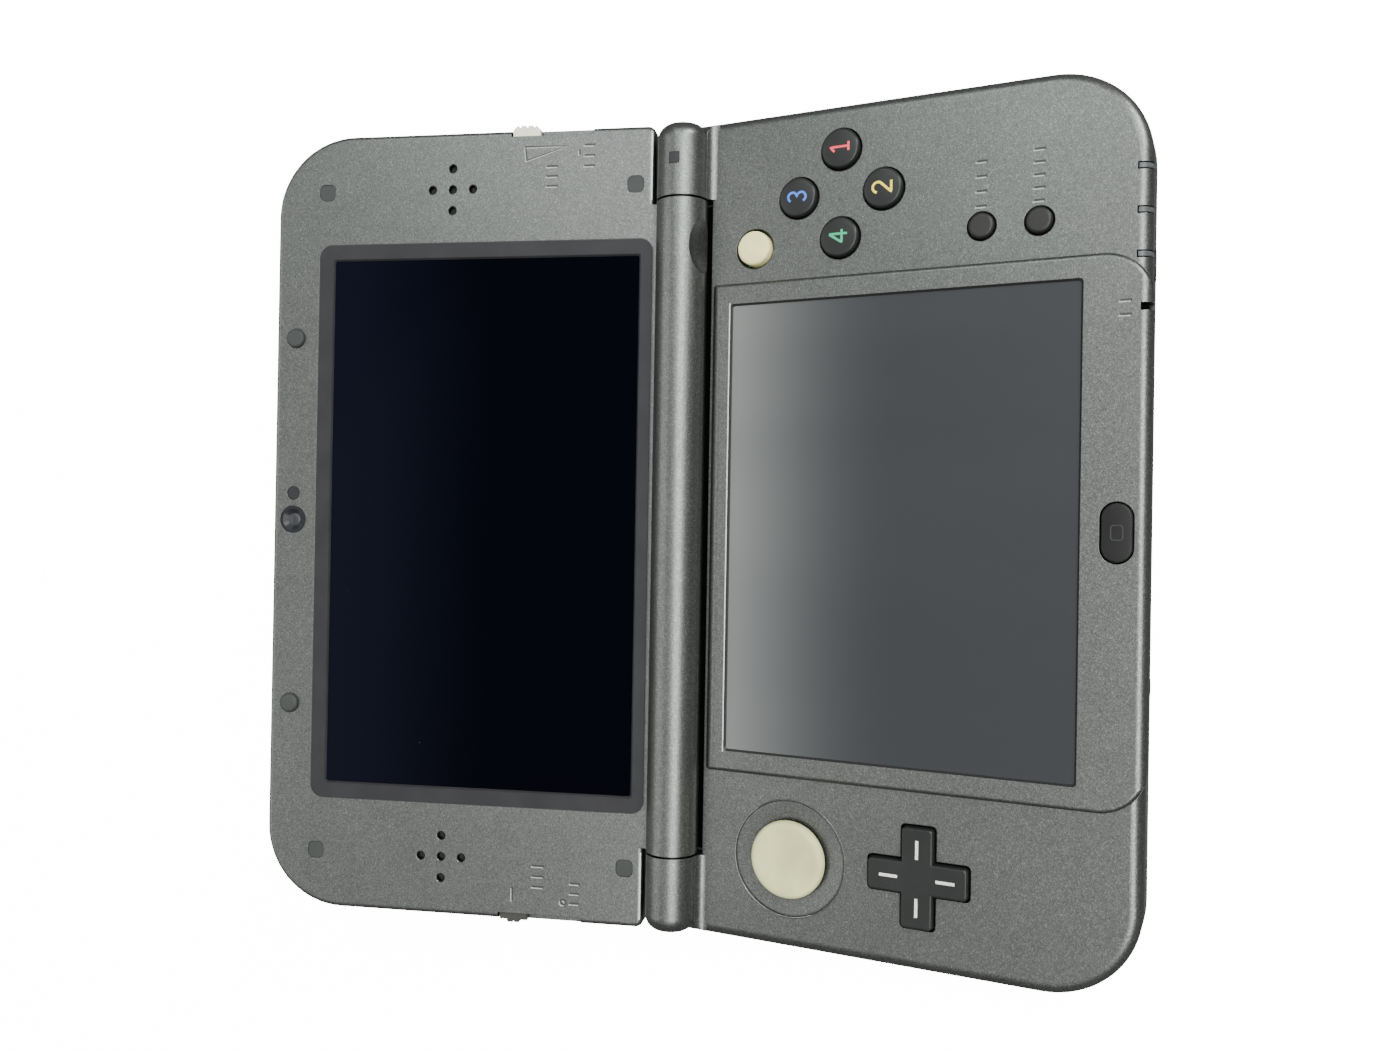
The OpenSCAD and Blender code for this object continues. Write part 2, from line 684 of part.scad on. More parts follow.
module screw_covers() {
    color(dark_plastic) on_lid() for (s = [-1, 1], v = cover_v)
        rounded_plate(s * cover_x - cover_w / 2, s * cover_x + cover_w / 2, v - cover_w / 2, v + cover_w / 2,
                      cover_corner_r, face_w - 0.45, face_w - 0.06);
}

module lid_screws() {
    color(steel) on_lid() for (s = [-1, 1], v = cover_v) {
        post(s * cover_x, v, 0.8, lid_split - 4, face_w - 0.8);
        difference() {
            post(s * cover_x, v, 1.5, face_w - 0.8, face_w - 0.48);
            block(s * cover_x - 1, s * cover_x + 1, v - 0.2, v + 0.2, face_w - 0.65, face_w);
        }
    }
}

module hinge_clutch() {
    color(steel) difference() {
        axis_rod(bush_r - slip, barrel_half - 18, barrel_half);
        axis_rod(pin_r + run_fit, barrel_half - 20, barrel_half + 1);
    }
}

module hinge_bush() {
    color("#d8d4c8") difference() {
        axis_rod(bush_r - slip, -barrel_half, 10 - barrel_half);
        axis_rod(hollow_pin_r + run_fit, -barrel_half - 1, 11 - barrel_half);
    }
}

// Rolled lead between the halves, with its flat tail in the lid
module display_ribbon() {
    color("#8a5a20") on_lid() {
        translate([4.3 - knuckle_x - knuckle_len, 0, 0]) rotate([0, 90, 0])
            cylinder(r = ribbon_r, h = ribbon_x + 0.5 + ribbon_tail - 4.3 + knuckle_x + knuckle_len);
        block(ribbon_x - ribbon_tail, ribbon_x + ribbon_tail, 0, 1, ribbon_w, 0);
        block(ribbon_x - ribbon_tail, ribbon_x + ribbon_tail, 0, 12, ribbon_w, ribbon_w + 0.15);
    }
}

// ---------------------------------------------------------------- base shells

module knuckles() {
    both_sides() {
        translate([knuckle_x, axis_y, axis_z]) rotate([0, 90, 0])
            rotate_extrude() rim_profile(barrel_r, knuckle_len, knuckle_end_r);
        intersection() {
            slab(knuckle_x - knuckle_len, knuckle_x + knuckle_len, axis_y - barrel_r, axis_y + barrel_r,
                 knuckle_end_r, knuckle_end_r, valley_h - 1, axis_z, 0);
            block(knuckle_x, side_x, 0, back_y, 0, axis_z);
        }
    }
}

// Hollow rise from the deck to each knuckle
module knuckle_fillets() {
    run = sqrt(pow(barrel_r + root_r, 2) - pow(deck_h + root_r - axis_z, 2));
    both_sides() intersection() {
        difference() {
            block(knuckle_x, side_x, axis_y - run, axis_y - 1, belt_h + 1, axis_z - 0.1);
            translate([knuckle_x - 1, axis_y - run, deck_h + 0.985 * root_r]) rotate([0, 90, 0])
                cylinder(r = root_r, h = side_x);
        }
        base_slab(0.25, belt_h, deck_h + 1.5, 3.2);
    }
}

// Openings of the deck that the centre panel shares
module home_hole() {
    pill(0, home_y, home_len + 2 * button_gap, home_w + 2 * button_gap, flange_top - 3, panel_h + 1);
}

module light_slots(grow) {
    for (x = light_x)
        block(x - light_w / 2 - grow, x + light_w / 2 + grow, front_y - 1, front_y + light_len + grow,
              belt_h + 1 - grow, deck_h + 1);
}

module deck_shell() {
    lcd_x = touch_w / 2 + 1.4;
    lcd_y = touch_h / 2 + 1.2;
    color(dark_metallic) difference() {
        union() {
            intersection() {
                base_slab(0, belt_h, deck_h, deck_edge_r);
                union() {
                    block(-side_x, side_x, front_y, deck_back_y, belt_h, deck_h);
                    both_sides() block(knuckle_x, side_x, deck_back_y - 1, axis_y - 1, belt_h, deck_h);
                }
            }
            intersection() {
                base_slab(0, belt_h, valley_h, 1.6);
                both_sides() block(knuckle_x, side_x, deck_back_y - 1, back_y, belt_h, valley_h);
            }
            knuckles();
            knuckle_fillets();
        }
        // hollow under the deck
        intersection() {
            base_slab(wall, belt_h - 1, deck_h - deck_t, deck_edge_r - wall);
            block(-side_x, side_x, front_y, deck_back_y - 1, belt_h - 1, deck_h);
        }
        // room for the barrel and the roof of the mid case
        axis_rod(trough_r, -knuckle_x, knuckle_x);
        block(-knuckle_x, knuckle_x, roof_y - slip, back_y + 1, belt_h - 1, roof_h + slip);
        axis_rod(pin_r + run_fit, knuckle_x - 1, knuckle_x + knuckle_len - 2.4);
        axis_rod(hollow_pin_r + run_fit, 2.4 - knuckle_x - knuckle_len, 1 - knuckle_x);
        // screens and keys
        block(-lcd_x, lcd_x, touch_y - lcd_y, touch_y + lcd_y, belt_h, deck_h + 1);
        intersection() {
            panel_slab(slip, lip_z - slip, deck_h + 1, 0);
            block(-side_x, side_x, front_y - 1, lip_back_y + 0.1, belt_h, deck_h + 1);
        }
        dish_cut();
        translate([pads_x, cross_y, 0])
            cross_bars(cross_span + 2 * cross_gap, cross_arm + 2 * cross_gap, 0.9, belt_h, deck_h + 1, 0);
        for (d = four_ways)
            key_hole(buttons_x + d[0] * button_ring, buttons_y + d[1] * button_ring,
                     button_r + button_gap, deck_h);
        for (y = [start_y, select_y]) key_hole(small_x, y, small_button_r + button_gap, deck_h);
        key_hole(stick_x, stick_y, stick_r + 0.45, deck_h);
        home_hole();
        light_slots(button_gap);
        // status light
        translate([status_x, status_y, axis_z]) block(-status_w / 2 - slip, status_w / 2 + slip,
              -status_w / 2 - slip, status_w / 2 + slip, barrel_r - 1.5, barrel_r + 1);
    }
    // bosses that take the case screws
    color(dark_metallic) both_sides() for (y = case_screw_y) difference() {
        post(case_screw_x, y, boss_r, belt_h, deck_h - deck_t + 0.2);
        post(case_screw_x, y, 0.85, belt_h - 1, deck_h - deck_t - 0.6);
    }
}

// Shallow dish round the circle pad, with the hole that its stem passes
module dish_cut() {
    translate([pads_x, circle_y, 0]) {
        translate([0, 0, deck_h - 0.22]) cylinder(r = dish_r, h = 1);
        translate([0, 0, deck_h - 0.62]) cylinder(r1 = stem_hole_r, r2 = dish_r - 0.2, h = 0.42);
        post(0, 0, stem_hole_r, belt_h, deck_h + 1);
    }
}

// Outline of the centre panel's front, shared with the deck that it drops into
module panel_slab(grow, z0, z1, e) {
    slab(-panel_half - grow, panel_half + grow, panel_front_y - grow, panel_back_y + grow,
         panel_corner_r + grow, 0.9, z0, z1, e);
}

module centre_panel() {
    color(dark_metallic) difference() {
        panel_slab(0, lip_z, panel_h, panel_rise - slip);
        // below the deck only the front lip is left
        block(-side_x, side_x, lip_back_y, back_y, lip_z - 1, deck_h + slip);
        // rolled front edge
        difference() {
            block(-side_x, side_x, panel_front_y - 1, panel_front_y + panel_roll_r, panel_h - panel_roll_r,
                  panel_h + 1);
            translate([-side_x - 1, panel_front_y + panel_roll_r, panel_h - panel_roll_r]) rotate([0, 90, 0])
                cylinder(r = panel_roll_r, h = body_w + 2);
        }
        // rolled back edge
        difference() {
            block(-side_x, side_x, panel_back_y - panel_roll_r, panel_back_y + 1, deck_h, panel_h + 1);
            translate([-side_x - 1, panel_back_y + 0.3 - panel_roll_r, panel_h - panel_roll_r])
                rotate([0, 90, 0]) cylinder(r = panel_roll_r, h = body_w + 2);
        }
        // hollow behind the front lip
        block(-side_x, side_x, front_y + wall, lip_back_y + 1, belt_h, deck_h + slip - deck_t);
        rounded_plate(-touch_w / 2, touch_w / 2, touch_y - touch_h / 2, touch_y + touch_h / 2, 0.6,
                      deck_h - 1, panel_h + 1);
        block(-touch_w / 2 - 1.1, touch_w / 2 + 1.1, touch_y - touch_h / 2 - 1, touch_y + touch_h / 2 + 1,
              deck_h - 1, touch_top + slip);
        home_hole();
        block(mic_x - mic_w / 2 - slip, mic_x + mic_w / 2 + slip, front_y - 1, front_y + 1.7, belt_h + 2,
              panel_h + 1);
    }
}

// Floor and walls that carry the board, with the stylus channel and screw bosses
module mid_case() {
    roof_r = 0.9;
    difference() {
        color(dark_plastic) union() {
            base_slab(0, cover_h, belt_h, 0);
            difference() {
                block(-knuckle_x + slip, knuckle_x - slip, roof_y, back_y, belt_h, roof_h);
                translate([0, back_y - roof_r, roof_h - roof_r]) difference() {
                    block(-side_x, side_x, 0, roof_r + 1, 0, roof_r + 1);
                    translate([-side_x - 1, 0, 0]) rotate([0, 90, 0]) cylinder(r = roof_r, h = body_w + 2);
                }
            }
        }
        difference() {
            union() {
                intersection() {
                    base_slab(wall, cover_h + mid_floor, roof_h + 1, 0);
                    block(-side_x, side_x, front_y, roof_y + 1, cover_h, roof_h + 2);
                }
                intersection() {
                    base_slab(wall, cover_h + mid_floor, belt_h - 1, 0);
                    block(-side_x, side_x, roof_y, back_y, cover_h, belt_h);
                }
                both_sides() intersection() {
                    base_slab(wall, cover_h + mid_floor, belt_h + 1, 0);
                    block(knuckle_x, side_x, roof_y, back_y, cover_h, belt_h + 1);
                }
            }
            block(stylus_x - stylus_bore_r - 0.9, stylus_x + stylus_bore_r + 0.9, front_y,
                  front_y + stylus_len + 4, cover_h, stylus_z + stylus_bore_r + 0.45);
            both_sides() for (y = case_screw_y) post(case_screw_x, y, boss_r, cover_h, belt_h);
            both_sides() post(cover_screw_x, cover_screw_y, 2, cover_h, belt_h - 1.5);
            for (p = board_posts) post(p[0], p[1], 1.4, cover_h, board_z);
        }
        axis_rod(trough_r, -side_x, side_x);
        both_sides() shoulder_room();
        // openings in the front wall
        block(card_x - card_w / 2, card_x + card_w / 2, front_y - 1, front_y + wall + 1, cover_h - 1, belt_h);
        block(card_x - card_w / 2 - 0.4, card_x + card_w / 2 + 0.4, front_y + wall - eps, card_back_y + 0.6,
              cover_h - 1, belt_h);
        front_rod(stylus_x, stylus_z, stylus_bore_r, front_y - 1, front_y + stylus_len + 1.5);
        front_rod(-jack_x, port_z, jack_r + 0.5, front_y - 1, front_y + wall + 0.5);
        translate([power_x, front_y - 1, power_z]) rotate([-90, 0, 0])
            pill(0, 0, power_len + 0.3, power_h + 0.3, 0, wall + 2);
        // openings in the back wall
        block(-plug_w / 2, plug_w / 2, back_y - wall - 1, back_y + 1, port_low, port_high);
        block(window_x - window_w / 2, window_x + window_w / 2, back_y - wall - 1, back_y + 1,
              port_low, port_high);
        // battery well and screw holes
        rounded_plate(battery_x - battery_w / 2 - 1, battery_x + battery_w / 2 + 1,
                      battery_front - 1, battery_back + 1, 2, cover_h - 1, cover_h + mid_floor + 1);
        // the headphone socket stands through the floor
        block(-jack_x - jack_body_w / 2 - slip, -jack_x + jack_body_w / 2 + slip, front_y + wall - eps,
              front_y + wall + jack_depth + 0.8 + slip, cover_h - 1, cover_h + mid_floor + 1);
        both_sides() {
            for (y = case_screw_y) {
                post(case_screw_x, y, 0.95, cover_h - 1, belt_h + 1);
                post(case_screw_x, y, 1.45, cover_h - 1, cover_h + 1);
            }
            post(cover_screw_x, cover_screw_y, 0.85, cover_h - 1, belt_h - 2);
        }
    }
}

// Space that the shoulder button and the trigger of the right side move in
module shoulder_room() {
    block(shoulder_in - 0.3, side_x + 1, back_y - shoulder_depth - 0.4, back_y + 1,
          cover_h - 1, belt_h - 0.1);
    block(side_x - shoulder_depth - 0.4, side_x + 1, back_y - shoulder_depth - 3.4, back_y + 1,
          cover_h - 1, belt_h - 0.1);
    block(trigger_in - 0.3, trigger_in + trigger_len + 0.3, back_y - wall - 2.2, back_y + 1,
          shoulder_z0 - 0.2, shoulder_z1 + 0.2);
}

module bottom_cover() {
    color(dark_metallic) difference() {
        translate([0, 0, cover_h]) mirror([0, 0, 1]) base_slab(0, 0, cover_h, base_edge_r);
        base_slab(wall, cover_floor, cover_h + 1, 0);
        both_sides() {
            post(cover_screw_x, cover_screw_y, 0.95, -1, cover_h);
            translate([cover_screw_x, cover_screw_y, -eps]) cylinder(r = 2.2, h = 0.9);
        }
        // strap loop near the left rear corner
        for (y = strap_y)
            block(strap_x - strap_hole[0] / 2, strap_x + strap_hole[0] / 2, y, y + strap_hole[1], -1,
                  cover_floor + 1);
    }
    color(dark_metallic) both_sides() difference() {
        post(shoulder_pin_x, shoulder_pin_y, 1.7, cover_floor - 0.1, cover_h);
        post(shoulder_pin_x, shoulder_pin_y, shoulder_pin_r + slip / 2, cover_floor, cover_h + 1);
    }
}

// ---------------------------------------------------------------- inside the base

module touch_panel() {
    color("#3c4043")
        block(-touch_w / 2 - 1, touch_w / 2 + 1, touch_y - touch_h / 2 - 0.9, touch_y + touch_h / 2 + 0.9,
              touch_top - touch_t, touch_top);
}

module lower_screen() {
    color("#0c0d10")
        block(-touch_w / 2 - 0.8, touch_w / 2 + 0.8, touch_y - touch_h / 2 - 0.8, touch_y + touch_h / 2 + 0.8,
              screen_z, screen_z + lcd_t);
}

module mainboard() {
    color(board_green) difference() {
        intersection() {
            base_slab(wall + 0.6, board_z, board_top, 0);
            block(-side_x + wall + 2.6, side_x - wall - 2.6, front_y + 5.5, roof_y - 1, board_z, board_top);
        }
        block(pads_x - 11, pads_x + 11, circle_y - 10, circle_y + 10, 0, deck_h);
        block(stylus_x - stylus_bore_r - 1.4, stylus_x + stylus_bore_r + 1.4, front_y, back_y, 0, deck_h);
        both_sides() for (y = case_screw_y) post(case_screw_x, y, boss_r + 0.4, 0, deck_h);
        post(-10, axis_y - 14, 1.2, 0, deck_h);
        post(10, axis_y - 14, 1.2, 0, deck_h);
    }
    // processor and memory under their shields, and the lead's connector
    color(steel) {
        block(22, 40, touch_y + 8, touch_y + 26, board_top, screen_z);
        block(-20, -4, touch_y + 10, touch_y + 24, board_top, screen_z);
        block(-4, 20, touch_y - 24, touch_y - 12, board_top, screen_z);
    }
    // join across the stylus channel
    color(board_green) block(stylus_x - stylus_bore_r - 1.5, stylus_x + stylus_bore_r + 1.5,
                             axis_y - 15, axis_y - 9, board_top - 0.25, board_top);
}

module battery() {
    color("#b9bcc0") rounded_plate(battery_x - battery_w / 2, battery_x + battery_w / 2,
                                   battery_front, battery_back, 1.5, cover_floor, board_z - 0.4);
}

module case_screws() {
    color(steel) both_sides() for (y = case_screw_y) {
        post(case_screw_x, y, 0.8, cover_h + 0.9, deck_h - deck_t - 0.8);
        difference() {
            post(case_screw_x, y, 1.4, cover_h + 0.3, cover_h + 1);
            block(case_screw_x - 0.9, case_screw_x + 0.9, y - 0.2, y + 0.2, cover_h, cover_h + 0.6);
        }
    }
}

module cover_screws() {
    color(steel) both_sides() {
        post(cover_screw_x, cover_screw_y, 0.8, 0.85, belt_h - 2.6);
        difference() {
            post(cover_screw_x, cover_screw_y, 2.05, 0.2, 0.85 + eps);
            for (turn = [0, 90])
                translate([cover_screw_x, cover_screw_y, 0]) rotate(turn)
                    block(-1.3, 1.3, -0.25, 0.25, 0, 0.5);
        }
    }
}

module card_cage() {
    color(steel) difference() {
        block(card_x - card_w / 2 - 0.25, card_x + card_w / 2 + 0.25, front_y + wall + slip,
              card_back_y + 0.4, cover_h + slip, board_z);
        block(card_x - card_w / 2, card_x + card_w / 2, front_y, card_back_y - 1.6, card_z, card_z + card_h);
    }
}

module headphone_socket() {
    color(black_plastic) difference() {
        block(-jack_x - jack_body_w / 2, -jack_x + jack_body_w / 2, front_y + wall + slip,
              front_y + wall + jack_depth + 0.8, cover_h + 0.1, board_z);
        front_rod(-jack_x, port_z, jack_r, front_y, front_y + wall + slip + jack_depth);
    }
}

module charge_socket() {
    color(black_plastic) difference() {
        block(-plug_w / 2 - 0.5, plug_w / 2 + 0.5, back_y - wall - 7.2, back_y - wall - slip,
              cover_h + mid_floor + slip, belt_h - 1 - slip);
        difference() {
            block(0.3 - plug_w / 2, plug_w / 2 - 0.3, back_y - wall - 6, back_y, port_z - 1.1, port_z + 1.1);
            block(1.5 - plug_w / 2, plug_w / 2 - 1.5, back_y - wall - 6, back_y - wall - 1,
                  port_z - 0.3, port_z + 0.3);
        }
    }
}

// Turned pen with a lipped head, a plain barrel and a rounded writing tip
module stylus() {
    tip_len = 6;
    head_len = 9;
    color(dark_plastic) translate([stylus_x, front_y - 0.15, stylus_z]) rotate([-90, 0, 0]) {
        rotate_extrude() polygon([[0, 0], [stylus_r - 0.4, 0], [stylus_r, 0.4], [stylus_r, head_len],
                                  [stylus_r - 0.25, head_len + 0.4], [stylus_r - 0.25, stylus_len - tip_len],
                                  [0.6, stylus_len - 0.6], [0, stylus_len - 0.6]]);
        translate([0, 0, stylus_len - 0.6]) sphere(0.6);
    }
}

module power_button() {
    color(dark_plastic) translate([power_x, 0, power_z]) rotate([-90, 0, 0]) {
        pill(0, 0, power_len, power_h, front_y - power_proud, front_y + wall + 0.5);
        pill(0, 0, power_len + 1.6, power_h + 0.6, front_y + wall + 0.15, front_y + wall + 0.8);
    }
}

module light_guides() {
    color("#70767a") intersection() {
        light_slots(0);
        difference() {
            base_slab(0, belt_h, deck_h, deck_edge_r);
            base_slab(wall + 0.4, belt_h - 1, deck_h - deck_t + 0.2, deck_edge_r - wall);
        }
    }
}

module status_light() {
    color("#1a1b1d") intersection() {
        axis_rod(barrel_r, knuckle_x, side_x);
        translate([status_x, status_y, axis_z])
            block(-status_w / 2, status_w / 2, -status_w / 2, status_w / 2, barrel_r - 1.45, barrel_r + 1);
    }
}

module microphone() {
    color("#0a0a0b") {
        block(mic_x - mic_w / 2, mic_x + mic_w / 2, front_y + 0.5, front_y + 1.65,
              belt_h + 2.05, panel_h - 1.6);
    }
}

// ---------------------------------------------------------------- circle pad

module pad_housing() {
    inner_x = x_slider_w / 2 + circle_pad_travel + 0.2;
    inner_y = x_slider_d / 2 + 0.1;
    color(black_plastic) translate([pads_x, circle_y, 0]) difference() {
        block(-inner_x - 1, inner_x + 1, -inner_y - 1, inner_y + 1, cover_h + mid_floor, pad_z0 + 4.6);
        block(-inner_x, inner_x, -inner_y, inner_y, pad_z0 + 0.6, pad_z0 + 6);
    }
}

module pad_x_slider() {
    color("#c8c8c4") translate([pads_x, circle_y, 0]) difference() {
        block(-x_slider_w / 2, x_slider_w / 2, -x_slider_d / 2, x_slider_d / 2, pad_z0 + 0.7, pad_z0 + 3.4);
        block(-pad_foot / 2 - 0.1, pad_foot / 2 + 0.1, -x_slider_d, x_slider_d, pad_z0 + 1.6, pad_z0 + 4);
    }
}

module pad_y_slider() {
    color("#c8c8c4") translate([pads_x, circle_y, 0]) {
        block(-pad_foot / 2, pad_foot / 2, -pad_foot / 2, pad_foot / 2, pad_z0 + 1.7, pad_z0 + 3.2);
        post(0, 0, stem_r, pad_z0 + 3, deck_h + 0.7);
        post(0, 0, stem_disc_r, flange_top - 0.55, flange_top - 0.05);
    }
}

module circle_pad() {
    top = deck_h + pad_rise;
    bottom = deck_h + 0.1;
    color(grey_cap) translate([pads_x, circle_y, 0]) difference() {
        translate([0, 0, bottom]) rotate_extrude() rim_profile(circle_pad_r, top - bottom, 0.8);
        translate([0, 0, top - 0.3])
            cylinder(r1 = circle_pad_r - 3.2, r2 = circle_pad_r - 1.1, h = 0.3 + eps);
        post(0, 0, stem_r, bottom - 1, deck_h + 0.7);
    }
}

// ---------------------------------------------------------------- keys

module cross_pad() {
    top = deck_h + button_rise;
    color(black_plastic) translate([pads_x, cross_y, 0]) difference() {
        union() {
            post(0, 0, cross_flange, cross_flange_z, cross_flange_z + 0.7);
            cross_bars(cross_span, cross_arm, 0.8, cross_flange_z, top, 0.45);
        }
        translate([0, 0, cross_pivot_z]) sphere(ball_r + run_fit);
    }
}

module cross_pad_pivot() {
    color(steel) translate([pads_x, cross_y, cross_pivot_z]) sphere(ball_r);
}

// Silicone sheets on the board, with a dome under every key
module button_membranes() {
    sheet = board_top + 0.2;
    dome = flange_top - 0.8 - button_travel - 0.1;
    cross_dome = cross_flange_z - 0.6;
    cross_half = cross_flange + 0.6;
    keys_half = button_ring + button_r + 0.4;
    color("#8f9499") {
        difference() {
            rounded_plate(pads_x - cross_half, pads_x + cross_half, cross_y - cross_half,
                          cross_y + cross_half, 2, board_top, sheet - 0.05);
            post(pads_x, cross_y, ball_r + 1, board_top - 1, sheet + 1);
        }
        for (d = four_ways) {
            post(pads_x + dome_ring * d[0], cross_y + dome_ring * d[1], 1.6, sheet - 0.1,
                 max(cross_dome, sheet + 0.05));
            post(buttons_x + d[0] * button_ring, buttons_y + d[1] * button_ring, 2.2, sheet - 0.1, dome);
        }
        rounded_plate(buttons_x - keys_half, buttons_x + keys_half, buttons_y - keys_half,
                      buttons_y + keys_half, 3, board_top, sheet);
        rounded_plate(small_x - 3.4, small_x + 3.4, select_y - 3.6, start_y + 3.6, 2, board_top, sheet);
        for (y = [start_y, select_y]) post(small_x, y, 1.8, sheet - 0.1, dome);
    }
}

module face_button(dx, dy) {
    color(black_plastic)
        round_key(buttons_x + dx * button_ring, buttons_y + dy * button_ring, button_r,
                  deck_h + button_rise, 0.8);
}

module button_right() { face_button(1, 0); }
module button_bottom() { face_button(0, -1); }
module button_top() { face_button(0, 1); }
module button_left() { face_button(-1, 0); }

module small_button(y) {
    color(dark_plastic) round_key(small_x, y, small_button_r, deck_h + small_rise, 0.7);
}

module start_button() { small_button(start_y); }
module select_button() { small_button(select_y); }

module home_button() {
    color(black_plastic) {
        pill(0, home_y, home_len, home_w, flange_top - 0.6, panel_h + 0.25);
        block(-home_len / 2 - 0.8, home_len / 2 + 0.8, home_y - home_w / 2 + 0.3, home_y + home_w / 2 - 0.3,
              flange_top - 0.6, flange_top);
    }
}

module small_stick() {
    top = deck_h + stick_rise;
    color(cream) translate([stick_x, stick_y, 0]) difference() {
        translate([0, 0, flange_top - 0.6]) rotate_extrude()
            rim_profile(stick_r, top - flange_top + 0.6, 0.6);
        post(0, 0, 1.45, flange_top - 1, deck_h - 0.2);
    }
}

module small_stick_post() {
    color(steel) translate([stick_x, stick_y, 0]) {
        post(0, 0, 1.2, board_top + 0.3, deck_h - 0.4);
        block(-2.6, 2.6, -2.6, 2.6, board_top + 0.3, board_top + 0.8);
    }
}

// ---------------------------------------------------------------- shoulder buttons

// Button that wraps the right rear corner and turns on an upright pin
module shoulder_right() {
    color(dark_plastic) difference() {
        union() {
            difference() {
                slab(shoulder_in - 20, side_x + shoulder_proud, back_y - 40, back_y + shoulder_proud,
                     2, rear_r + shoulder_proud, shoulder_z0, shoulder_z1, 0.4);
                slab(shoulder_in - 30, side_x + shoulder_proud - shoulder_wall, back_y - 50,
                     back_y + shoulder_proud - shoulder_wall, 2, rear_r + shoulder_proud - shoulder_wall,
                     shoulder_z0 - 1, shoulder_z1 + 1, 0);
                // both slabs end here, and the button keeps their rear corner
                block(0, shoulder_in, 0, back_y + 1, 0, deck_h);
                block(0, side_x + 1, 0, back_y - shoulder_depth - 2.6, 0, deck_h);
            }
            post(shoulder_pin_x, shoulder_pin_y, shoulder_eye_r, shoulder_z0, shoulder_z1);
            block(shoulder_pin_x - shoulder_eye_r, shoulder_pin_x + shoulder_eye_r,
                  shoulder_pin_y, back_y - 1, shoulder_z0, shoulder_z1);
        }
        post(shoulder_pin_x, shoulder_pin_y, shoulder_pin_r + run_fit, 0, deck_h);
    }
}

module shoulder_left() {
    mirror([1, 0, 0]) shoulder_right();
}

// Small trigger beside the shoulder button, which presses straight in
module trigger_right() {
    color(dark_plastic) {
        translate([trigger_in + trigger_len / 2, 0, (shoulder_z0 + shoulder_z1) / 2]) rotate([-90, 0, 0])
            rounded_plate(-trigger_len / 2, trigger_len / 2, (shoulder_z0 - shoulder_z1) / 2,
                          (shoulder_z1 - shoulder_z0) / 2, 1.2, back_y - wall - 1.2, back_y + trigger_proud);
        block(trigger_in - 0.9, trigger_in + trigger_len + 0.9, back_y - wall - 2, back_y - wall - 1.15,
              shoulder_z0 + 0.6, shoulder_z1 - 0.8);
    }
}

module trigger_left() {
    mirror([1, 0, 0]) trigger_right();
}

module shoulder_pins() {
    color(steel) both_sides()
        post(shoulder_pin_x, shoulder_pin_y, shoulder_pin_r, cover_floor, belt_h - 0.15);
}

module infrared_window() {
    color("#1c0d12") block(window_x - window_w / 2 + slip, window_x + window_w / 2 - slip, back_y - wall,
                           back_y - 0.1, port_low + slip, port_high - slip);
}

module hinge_pins() {
    pin_reach = knuckle_len - 2.9;
    color(steel) {
        axis_rod(pin_r, barrel_half - 17, knuckle_x + pin_reach);
        difference() {
            axis_rod(hollow_pin_r, -knuckle_x - pin_reach, 9.5 - barrel_half);
            axis_rod(ribbon_r + 0.4, -knuckle_x - pin_reach - 1, 10.5 - barrel_half);
        }
    }
}

// ---------------------------------------------------------------- nodes

lid_outer_shell();
lid_bezel();
hinge_barrel();
screen_frame();
upper_screen();
inner_camera();
infrared_light();
outer_cameras();
camera_board();
speakers();
speaker_mesh();
depth_slider();
volume_slider();
lid_bumpers();
screw_covers();
lid_screws();
hinge_clutch();
hinge_bush();
display_ribbon();
deck_shell();
centre_panel();
mid_case();
bottom_cover();
touch_panel();
lower_screen();
mainboard();
battery();
case_screws();
cover_screws();
card_cage();
headphone_socket();
charge_socket();
stylus();
power_button();
light_guides();
status_light();
microphone();
pad_housing();
pad_x_slider();
pad_y_slider();
circle_pad();
cross_pad();
cross_pad_pivot();
button_membranes();
button_right();
button_bottom();
button_top();
button_left();
start_button();
select_button();
home_button();
small_stick();
small_stick_post();
shoulder_left();
shoulder_right();
trigger_left();
trigger_right();
shoulder_pins();
infrared_window();
hinge_pins();
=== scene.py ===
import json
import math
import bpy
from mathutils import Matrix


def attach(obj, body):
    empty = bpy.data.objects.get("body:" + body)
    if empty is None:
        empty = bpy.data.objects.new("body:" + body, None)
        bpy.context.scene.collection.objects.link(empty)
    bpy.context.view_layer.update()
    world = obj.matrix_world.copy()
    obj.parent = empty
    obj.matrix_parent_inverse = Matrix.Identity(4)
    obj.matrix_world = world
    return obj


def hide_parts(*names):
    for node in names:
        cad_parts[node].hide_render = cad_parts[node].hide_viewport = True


bl_info = {
    "name": "Handheld console dressing",
    "version": (1, 0, 0),
    "blender": (4, 5, 0),
    "location": "3D View > Sidebar > Console",
    "description": "Finishes, keys, marks, seams and stage for a clamshell handheld console",
    "category": "Object",
}

import bmesh
import bpy
from bpy.props import FloatProperty, FloatVectorProperty, PointerProperty
from mathutils import Matrix, Vector

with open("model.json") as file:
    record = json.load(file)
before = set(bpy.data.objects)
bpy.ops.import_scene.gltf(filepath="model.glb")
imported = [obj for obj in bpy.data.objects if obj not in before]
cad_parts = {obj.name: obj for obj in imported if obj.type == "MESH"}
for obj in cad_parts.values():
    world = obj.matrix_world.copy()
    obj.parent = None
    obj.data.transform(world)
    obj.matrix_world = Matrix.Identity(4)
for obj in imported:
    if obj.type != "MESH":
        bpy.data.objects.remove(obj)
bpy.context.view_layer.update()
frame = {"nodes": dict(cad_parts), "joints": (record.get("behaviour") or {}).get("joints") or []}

MM = 0.001
CORNER_R = 16.5 * MM    # free corners of both halves
SEAM_PROUD = 0.012 * MM    # how far a seam strip stands out of the shell
SLOT_LEN = 17 * MM    # length of a slider's notch
FACE_LIFT = 0.006 * MM    # keeps a mark clear of the face or the mark beside it

